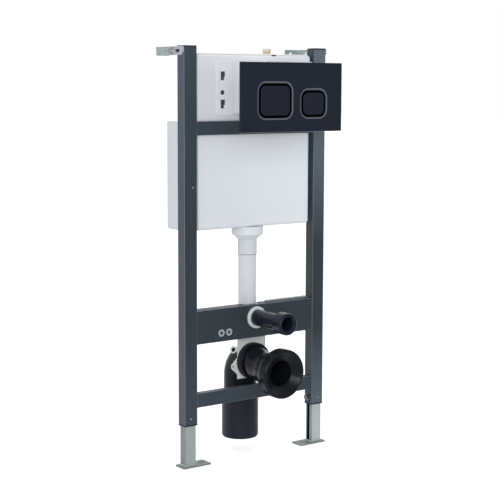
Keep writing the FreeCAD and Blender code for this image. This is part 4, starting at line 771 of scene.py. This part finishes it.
def bracket_slot_shade(side, sign, start, finish, half_high=0.0038, half_thick=0.0006,
                 proud=0.0008):
    """A dark block in the bracket plate's slot, which the wall bracket slides in: painted shade
    in the slot.
    """
    near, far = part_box(side + "_bracket_plate")
    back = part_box(side + "_upright")[1].y
    face = sign * max(abs(value.x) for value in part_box(side + "_upright"))
    middle = (near.z + far.z) / 2.0
    shade = bmesh.new()
    softened_block(shade, (face - half_thick, start, middle - half_high),
                   (face + half_thick, back, middle + half_high), 0.0003, 1)
    bmesh.ops.translate(shade, vec=(sign * proud, 0.0, 0.0), verts=list(shade.verts))
    made_piece(side + "_bracket_slot", shade, "frame", finish)


def stud_threads(side, sign, places, radius, finish, turns=4, pitch=0.0016, inset=0.0012,
                 ridge=0.0004, plug_inset=0.001, plug_long=0.006):
    """The threads seen in a pair of stud nuts, and a plug deep in each bore. Both are dark,
    painted shade inside the bores.
    """
    near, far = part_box(side + "_stud_nuts")
    level = (near.z + far.z) / 2.0
    threads = bmesh.new()
    for across in places:
        # Painted shade: a dark plug closes the far end of the bore.
        plug(threads, Vector((sign * across, far.y - plug_inset, level)), FRONT, radius,
             plug_long)
        for turn in range(turns):
            place = Vector((sign * across, near.y + inset + pitch * turn, level))
            rounded_ring(threads, place, FRONT, radius, ridge, 32, 6)
    made_piece(side + "_stud_threads", threads, "frame", finish)


class TOILETFRAME_OT_cistern(PieceOperator, Operator):
    """Finishes tank, hood and cover, with painted light and shade on tank and hood, adds the
    small catch on the hood and painted shade in the cover's openings
    """

    bl_idname = "toiletframe.cistern"
    bl_label = "Cistern"

    def make(self, settings):
        cistern = settings.cistern
        colour = cistern.tank_colour
        dress(moulded_plastic("tank_plastic", colour, 0.40, spread=0.02, edge_radius=0.001,
                              light_ends=(0.55, 0.12, 0.22, 1.07)), "cistern_tank")
        dress(moulded_plastic("hood_plastic", colour, 0.42, spread=0.025, edge_radius=0.001,
                              light_ends=(0.985, 0.05, 0.10, 1.16)), "cistern_hood")
        dress(moulded_plastic("cover_plastic", cistern.cover_colour, 0.5, fine=1400.0,
                              depth=0.0002, edge_radius=0.0008), "cover_plate")
        dress(moulded_plastic("shaft_plastic", cistern.cover_colour, 0.5), "service_shaft")
        # Dark plastic of the hood's catch, also used for the painted shade in the cover's slots
        # and holes.
        dark = black_moulding("catch_plastic", cistern.shade_colour, 0.5)
        hood_catch(cistern.latch_across, cistern.latch_width / 2.0, dark)
        # Painted shade in the cover's slots and holes.
        cover_openings(cistern, dark)


def hood_catch(across, half, finish, proud=0.0002, deep=0.006, top=0.0018, foot=0.0050):
    """The small dark catch at the hood's upper edge."""
    low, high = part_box("cistern_hood")
    catch = bmesh.new()
    softened_block(catch, (across - half, low.y - proud, high.z - foot),
                   (across + half, low.y + deep, high.z - top), 0.0009)
    made_piece("hood_catch", catch, "frame", finish)


def cover_openings(cistern, finish, thick=0.0018, back_gap=0.0004):
    """Dark blocks and discs in the keyhole slots and round holes of the cover: painted shade in
    them.
    """
    near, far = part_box("cover_plate")
    back = far.y - back_gap
    shades = bmesh.new()
    for sign, _ in SIDES:
        for middle in (near.z + cistern.upper_slot, near.z + cistern.lower_slot):
            for inner, start, end in COVER_SLOT_PARTS:
                ends = (sign * inner, sign * COVER_SLOT_SIDE)
                softened_block(shades, (min(ends), back - thick, middle + start),
                               (max(ends), back, middle + end), 0.0002, 1)
        hole = Vector((sign * cistern.cover_hole_across, back, near.z + cistern.cover_hole))
        plug(shades, hole, FRONT, cistern.cover_hole_radius, thick)
    made_piece("cover_openings", shades, "frame", finish)


class TOILETFRAME_OT_water_inlet(PieceOperator, Operator):
    """Finishes the water inlet and cuts its thread"""

    bl_idname = "toiletframe.water_inlet"
    bl_label = "Water inlet"

    def make(self, settings):
        cistern = settings.cistern
        brass = plated_steel("inlet_brass", cistern.brass_colour, roughness=0.45,
                             metallic=0.2)
        dress(brass, "inlet_nipple")
        dress(moulded_plastic("inlet_cap_plastic", (0.70, 0.68, 0.60), 0.45), "inlet_cap")
        inlet_thread(cistern.thread_pitch, brass)


def inlet_thread(pitch, finish, root=0.0003, crest=0.0006):
    """The ridges of the thread between the hood and the cap."""
    low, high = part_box("inlet_nipple")
    middle = box_middle("inlet_nipple")
    axis_foot = Vector((middle.x, middle.y, 0.0))
    radius = (high.x - low.x) / 2.0
    half = 0.35 * pitch
    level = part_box("cistern_hood")[1].z + 0.6 * pitch
    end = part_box("inlet_cap")[0].z - 0.4 * pitch
    ridges = bmesh.new()
    while level < end:
        turned_form(ridges, [(radius - root, level - half), (radius + crest, level),
                             (radius - root, level + half)], axis_foot, UP, 40)
        level += pitch
    if ridges.faces:
        made_piece("inlet_thread", ridges, "frame", finish)
    else:
        ridges.free()


class TOILETFRAME_OT_flush_plate(PieceOperator, Operator):
    """Finishes plate and buttons, with painted shade in the grooves and a painted highlight on
    the plate's lower edge, and adds the trim round each button
    """

    bl_idname = "toiletframe.flush_plate"
    bl_label = "Flush plate"

    def make(self, settings):
        plate = settings.plate
        colour = plate.plate_colour
        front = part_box("flush_plate")[0].y
        dress(satin_plate("plate_satin", colour, plate.plate_roughness, front), "flush_plate")
        dress(satin_plate("button_satin", shaded(colour, 0.85), plate.plate_roughness + 0.04,
                          front, lower_highlight=0.0), "full_flush_button", "half_flush_button")
        trim = moulded_plastic("trim_satin", plate.trim_colour, 0.34, spread=0.05,
                               edge_radius=0.0004)
        bezel = plate.bezel_width - plate.trim_step
        for name, (left, low, right, high) in WINDOWS:
            ring = bmesh.new()
            sloping_trim(ring, left - bezel, low - bezel, right + bezel, high + bezel,
                         plate.window_radius + bezel, front, plate.trim_width,
                         plate.trim_depth)
            made_piece(name, ring, "frame", trim)


class TOILETFRAME_OT_flush_pipe(PieceOperator, Operator):
    """Finishes the pipe from the cistern to the pan, and adds its lips"""

    bl_idname = "toiletframe.flush_pipe"
    bl_label = "Flush pipe"

    def make(self, settings):
        pipes = settings.pipes
        white = settings.cistern.tank_colour
        dress(moulded_plastic("outlet_nut_plastic", white), "outlet_nut")
        dress(moulded_plastic("socket_plastic", shaded(white, 0.88), 0.45), "flush_socket")
        dress(moulded_plastic("flush_pipe_plastic", shaded(white, 0.91), 0.36), "flush_pipe")
        dress(moulded_plastic("collar_plastic", (0.66, 0.71, 0.70), 0.45), "flush_collar")
        blue_black = shaded(pipes.pipe_colour, 1.0, (1.1, 1.3, 1.7))
        dress(black_moulding("flush_tube_plastic", blue_black, pipes.pipe_roughness,
                             fine=900.0, depth=0.00002, shine=0.32), "flush_tube")
        rubber = black_moulding("seal_lip_rubber", pipes.rubber_colour, 0.5, shine=0.35)
        flush_tube_lips(pipes.lip_radius, rubber)
        socket_seal(rubber)


def flush_tube_lips(thick, finish, radius=0.0222, depths=(0.0032, 0.0110)):
    """The lips inside the flush tube's mouth."""
    low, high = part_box("flush_tube")
    mouth = Vector((box_middle("flush_tube").x, low.y, (low.z + high.z) / 2.0))
    lips = bmesh.new()
    for depth in depths:
        rounded_ring(lips, mouth + Vector((0.0, depth, 0.0)), FRONT, radius, thick)
    made_piece("flush_tube_lips", lips, "frame", finish)


def socket_seal(finish, thick=0.0009, inset=0.0010, rise=0.0004):
    """The seal that shows at the socket's foot."""
    low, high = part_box("flush_socket")
    foot = box_middle("flush_socket")
    seal = bmesh.new()
    rounded_ring(seal, Vector((foot.x, foot.y, low.z + rise)), UP,
                 (high.x - low.x) / 2.0 - inset, thick)
    made_piece("socket_seal", seal, "frame", finish)


class TOILETFRAME_OT_drain(PieceOperator, Operator):
    """Finishes the drain, its clamp and the pan connector, and adds seals, ribs and plugs of
    painted shade in the clamp's holes
    """

    bl_idname = "toiletframe.drain"
    bl_label = "Drain"

    def make(self, settings):
        pipes = settings.pipes
        colour = pipes.pipe_colour
        dress(black_moulding("drain_plastic", colour, pipes.pipe_roughness + 0.06,
                             shine=0.18), "drain_bend")
        dress(black_moulding("adapter_plastic", (0.0125, 0.0155, 0.0285), 0.34, shine=0.34),
              "drain_adapter")
        dress(black_moulding("connector_plastic", colour, pipes.pipe_roughness - 0.02,
                             edge_radius=0.003, shine=0.27), "pan_connector")
        rubber = black_moulding("drain_seal_rubber", pipes.rubber_colour, 0.42, shine=0.30)
        dress(rubber, "seal_ring")
        dress(moulded_plastic("clamp_plastic", pipes.support_colour, 0.5, spread=0.06,
                              fine=260.0, depth=0.0004), "pipe_support")
        seal_ring_ribs(rubber)
        # The seal's rubber colours the plugs of painted shade in the clamp's holes.
        clamp_openings(pipes, rubber)


def seal_ring_ribs(finish, thick=0.0013, inset=0.0022, depth=0.0003):
    """The rounded rib at the seal's mouth."""
    low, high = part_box("seal_ring")
    middle = box_middle("seal_ring")
    front = Vector((middle.x, low.y, middle.z))
    ribs = bmesh.new()
    rounded_ring(ribs, front + Vector((0.0, depth, 0.0)), FRONT,
                 (high.x - low.x) / 2.0 - inset, thick)
    made_piece("seal_ring_ribs", ribs, "frame", finish)


def clamp_openings(pipes, finish, depth=0.0023, thick=0.0012, play=0.0001):
    """Dark plugs in the holes of the clamp's ear and lugs: painted shade in them."""
    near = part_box("pipe_support")[0].y
    middle = box_middle("seal_ring")
    places = (
        (-pipes.ear_across, pipes.ear_rise, pipes.ear_radius),
        (-pipes.lug_across, -pipes.lug_drop, pipes.lug_radius),
        (pipes.lug_across, -pipes.lug_drop, pipes.lug_radius),
    )
    holes = bmesh.new()
    for across, rise, radius in places:
        plug(holes, Vector((across, near + depth, middle.z + rise)), FRONT, radius - play,
             thick)
    made_piece("clamp_openings", holes, "frame", finish)


class TOILETFRAME_OT_stage(PieceOperator, Operator):
    """Lays the floor, hangs the lamps and sets up the camera"""

    bl_idname = "toiletframe.stage"
    bl_label = "Stage"

    def make(self, settings):
        stage = settings.stage
        scene = bpy.context.scene
        laid_floor(scene, floor_finish(stage.floor_colour, stage.front_light,
                                       stage.left_light))
        for name, place, size, power in LAMPS:
            soft_lamp(name, Vector(place), STAGE_MIDDLE, size, getattr(stage, power))
        room_light(scene, stage.room_light, stage.front_light, stage.left_light)
        photo_camera(scene, stage.lens)
        scene.view_settings.view_transform = "Standard"


def laid_floor(scene, finish):
    """A wide floor just under the feet."""
    ground = bmesh.new()
    bmesh.ops.create_grid(ground, x_segments=1, y_segments=1, size=FLOOR_HALF)
    bmesh.ops.translate(ground, vec=(0.0, 0.0, -FLOOR_DROP), verts=ground.verts)
    mesh = bpy.data.meshes.new("studio_floor")
    ground.to_mesh(mesh)
    ground.free()
    mesh.materials.append(finish)
    floor = bpy.data.objects.new("studio_floor", mesh)
    scene.collection.objects.link(floor)


def soft_lamp(name, place, target, size, power):
    """A square lamp that looks at a point."""
    lamp = bpy.data.lights.new(name, "AREA")
    lamp.shape = "SQUARE"
    lamp.size = size
    lamp.energy = power
    holder = bpy.data.objects.new(name, lamp)
    holder.location = place
    holder.rotation_mode = "QUATERNION"
    holder.rotation_quaternion = (target - place).to_track_quat("-Z", "Y")
    bpy.context.scene.collection.objects.link(holder)


def reflection_level(tree, front, left, spread):
    """What a reflection finds by direction or place: white behind, dimmer left and in front."""
    parts = object_place(tree)
    behind = ranged(tree, parts["Y"], 0.0, 1.0, -spread, spread)
    across = ranged(tree, parts["X"], left, 1.0, -2.0 * spread, spread)
    level = combined(tree, "MULTIPLY", behind, across)
    return combined(tree, "ADD", combined(tree, "MULTIPLY", level, 1.0 - front), front)


def by_ray(tree, plain, camera, mirrored):
    """A strength for diffuse light, for the camera and for reflections."""
    rays = put(tree, "LightPath").outputs
    mirrors = combined(tree, "MAXIMUM", rays["Is Glossy Ray"], rays["Is Transmission Ray"])
    for chosen, value in ((rays["Is Camera Ray"], camera), (mirrors, mirrored)):
        plain = put(tree, "Mix", {0: chosen, 2: plain, 3: value}, data_type="FLOAT").outputs[0]
    return plain


def floor_finish(colour, front, left):
    """A pale floor that shows white and still keeps the shadow."""
    finish, tree = blank_finish("studio_floor")
    place = placed_pattern(tree)
    level = reflection_level(tree, front, left, 0.6)
    tone = clouded(tree, place, 1.5, colour, 0.995, 1.005)
    tone = mixed(tree, by_ray(tree, 1.0, 1.0, level), (0.0, 0.0, 0.0), tone)
    matt = put(tree, "BsdfDiffuse", {"Color": tone})
    strength = combined(tree, "MULTIPLY", by_ray(tree, 0.0, 1.0, level), 0.55)
    glow = put(tree, "Emission", {"Strength": strength})
    both = put(tree, "AddShader", {0: matt.outputs[0], 1: glow.outputs[0]})
    put(tree, "OutputMaterial", {"Surface": both.outputs[0]})
    return finish


def room_light(scene, strength, front, left):
    """Even light, with a white back and a dim front where surfaces reflect it."""
    world = bpy.data.worlds.new("studio_room")
    scene.world = world
    world.use_nodes = True
    tree = world.node_tree
    tree.nodes.clear()
    level = by_ray(tree, strength, 1.0, reflection_level(tree, front, left, 0.3))
    background = put(tree, "Background", {"Color": (1.0, 1.0, 1.0, 1.0), "Strength": level})
    put(tree, "OutputWorld", {"Surface": background.outputs[0]})


def photo_camera(scene, lens):
    """The camera where it stood for the photograph."""
    data = bpy.data.cameras.new("photo_camera")
    data.lens = lens
    data.sensor_width = 36.0
    data.clip_start = 0.05
    data.clip_end = 200.0
    camera = bpy.data.objects.new("photo_camera", data)
    yaw, pitch, roll = (math.radians(turn) for turn in CAMERA_TURNS)
    ahead = Vector((math.sin(yaw) * math.cos(pitch), math.cos(yaw) * math.cos(pitch),
                    -math.sin(pitch)))
    right = Vector((math.cos(yaw), -math.sin(yaw), 0.0))
    above = right.cross(ahead)
    right_turned = math.cos(roll) * right + math.sin(roll) * above
    above_turned = math.cos(roll) * above - math.sin(roll) * right
    axes = Matrix((right_turned, above_turned, -ahead)).transposed().to_4x4()
    camera.matrix_world = Matrix.Translation(CAMERA_PLACE) @ axes
    scene.collection.objects.link(camera)
    scene.camera = camera


class TOILETFRAME_PT_parts(Panel):
    """Lists the parts of the toilet frame with their settings"""

    bl_idname = "TOILETFRAME_PT_parts"
    bl_label = "Toilet frame"
    bl_space_type = "VIEW_3D"
    bl_region_type = "UI"
    bl_category = "Toilet frame"

    def draw(self, context):
        settings = context.scene.toilet_frame
        for title, group, operators in PANEL_ROWS:
            box = self.layout.box()
            box.label(text=title)
            values = getattr(settings, group)
            for name in values.__annotations__:
                box.prop(values, name)
            for operator in operators:
                box.operator(operator.bl_idname)


PIECE_OPERATORS = (
    TOILETFRAME_OT_steel_frame,
    TOILETFRAME_OT_legs,
    TOILETFRAME_OT_fixings,
    TOILETFRAME_OT_cistern,
    TOILETFRAME_OT_water_inlet,
    TOILETFRAME_OT_flush_plate,
    TOILETFRAME_OT_flush_pipe,
    TOILETFRAME_OT_drain,
    TOILETFRAME_OT_stage,
)
PANEL_ROWS = (
    ("Steel", "steel", PIECE_OPERATORS[:3]),
    ("Cistern", "cistern", PIECE_OPERATORS[3:5]),
    ("Flush plate", "plate", PIECE_OPERATORS[5:6]),
    ("Pipes", "pipes", PIECE_OPERATORS[6:8]),
    ("Stage", "stage", PIECE_OPERATORS[8:]),
)
CLASSES = (
    SteelSettings, CisternSettings, PlateSettings, PipeSettings, StageSettings,
    ToiletFrameSettings, *PIECE_OPERATORS, TOILETFRAME_PT_parts,
)


def register():
    for one in CLASSES:
        bpy.utils.register_class(one)
    bpy.types.Scene.toilet_frame = PointerProperty(type=ToiletFrameSettings)


def unregister():
    del bpy.types.Scene.toilet_frame
    for one in reversed(CLASSES):
        bpy.utils.unregister_class(one)


def main():
    register()
    bpy.ops.toiletframe.steel_frame()
    bpy.ops.toiletframe.legs()
    bpy.ops.toiletframe.fixings()
    bpy.ops.toiletframe.cistern()
    bpy.ops.toiletframe.water_inlet()
    bpy.ops.toiletframe.flush_plate()
    bpy.ops.toiletframe.flush_pipe()
    bpy.ops.toiletframe.drain()
    bpy.ops.toiletframe.stage()


if __name__ == "__main__":
    main()
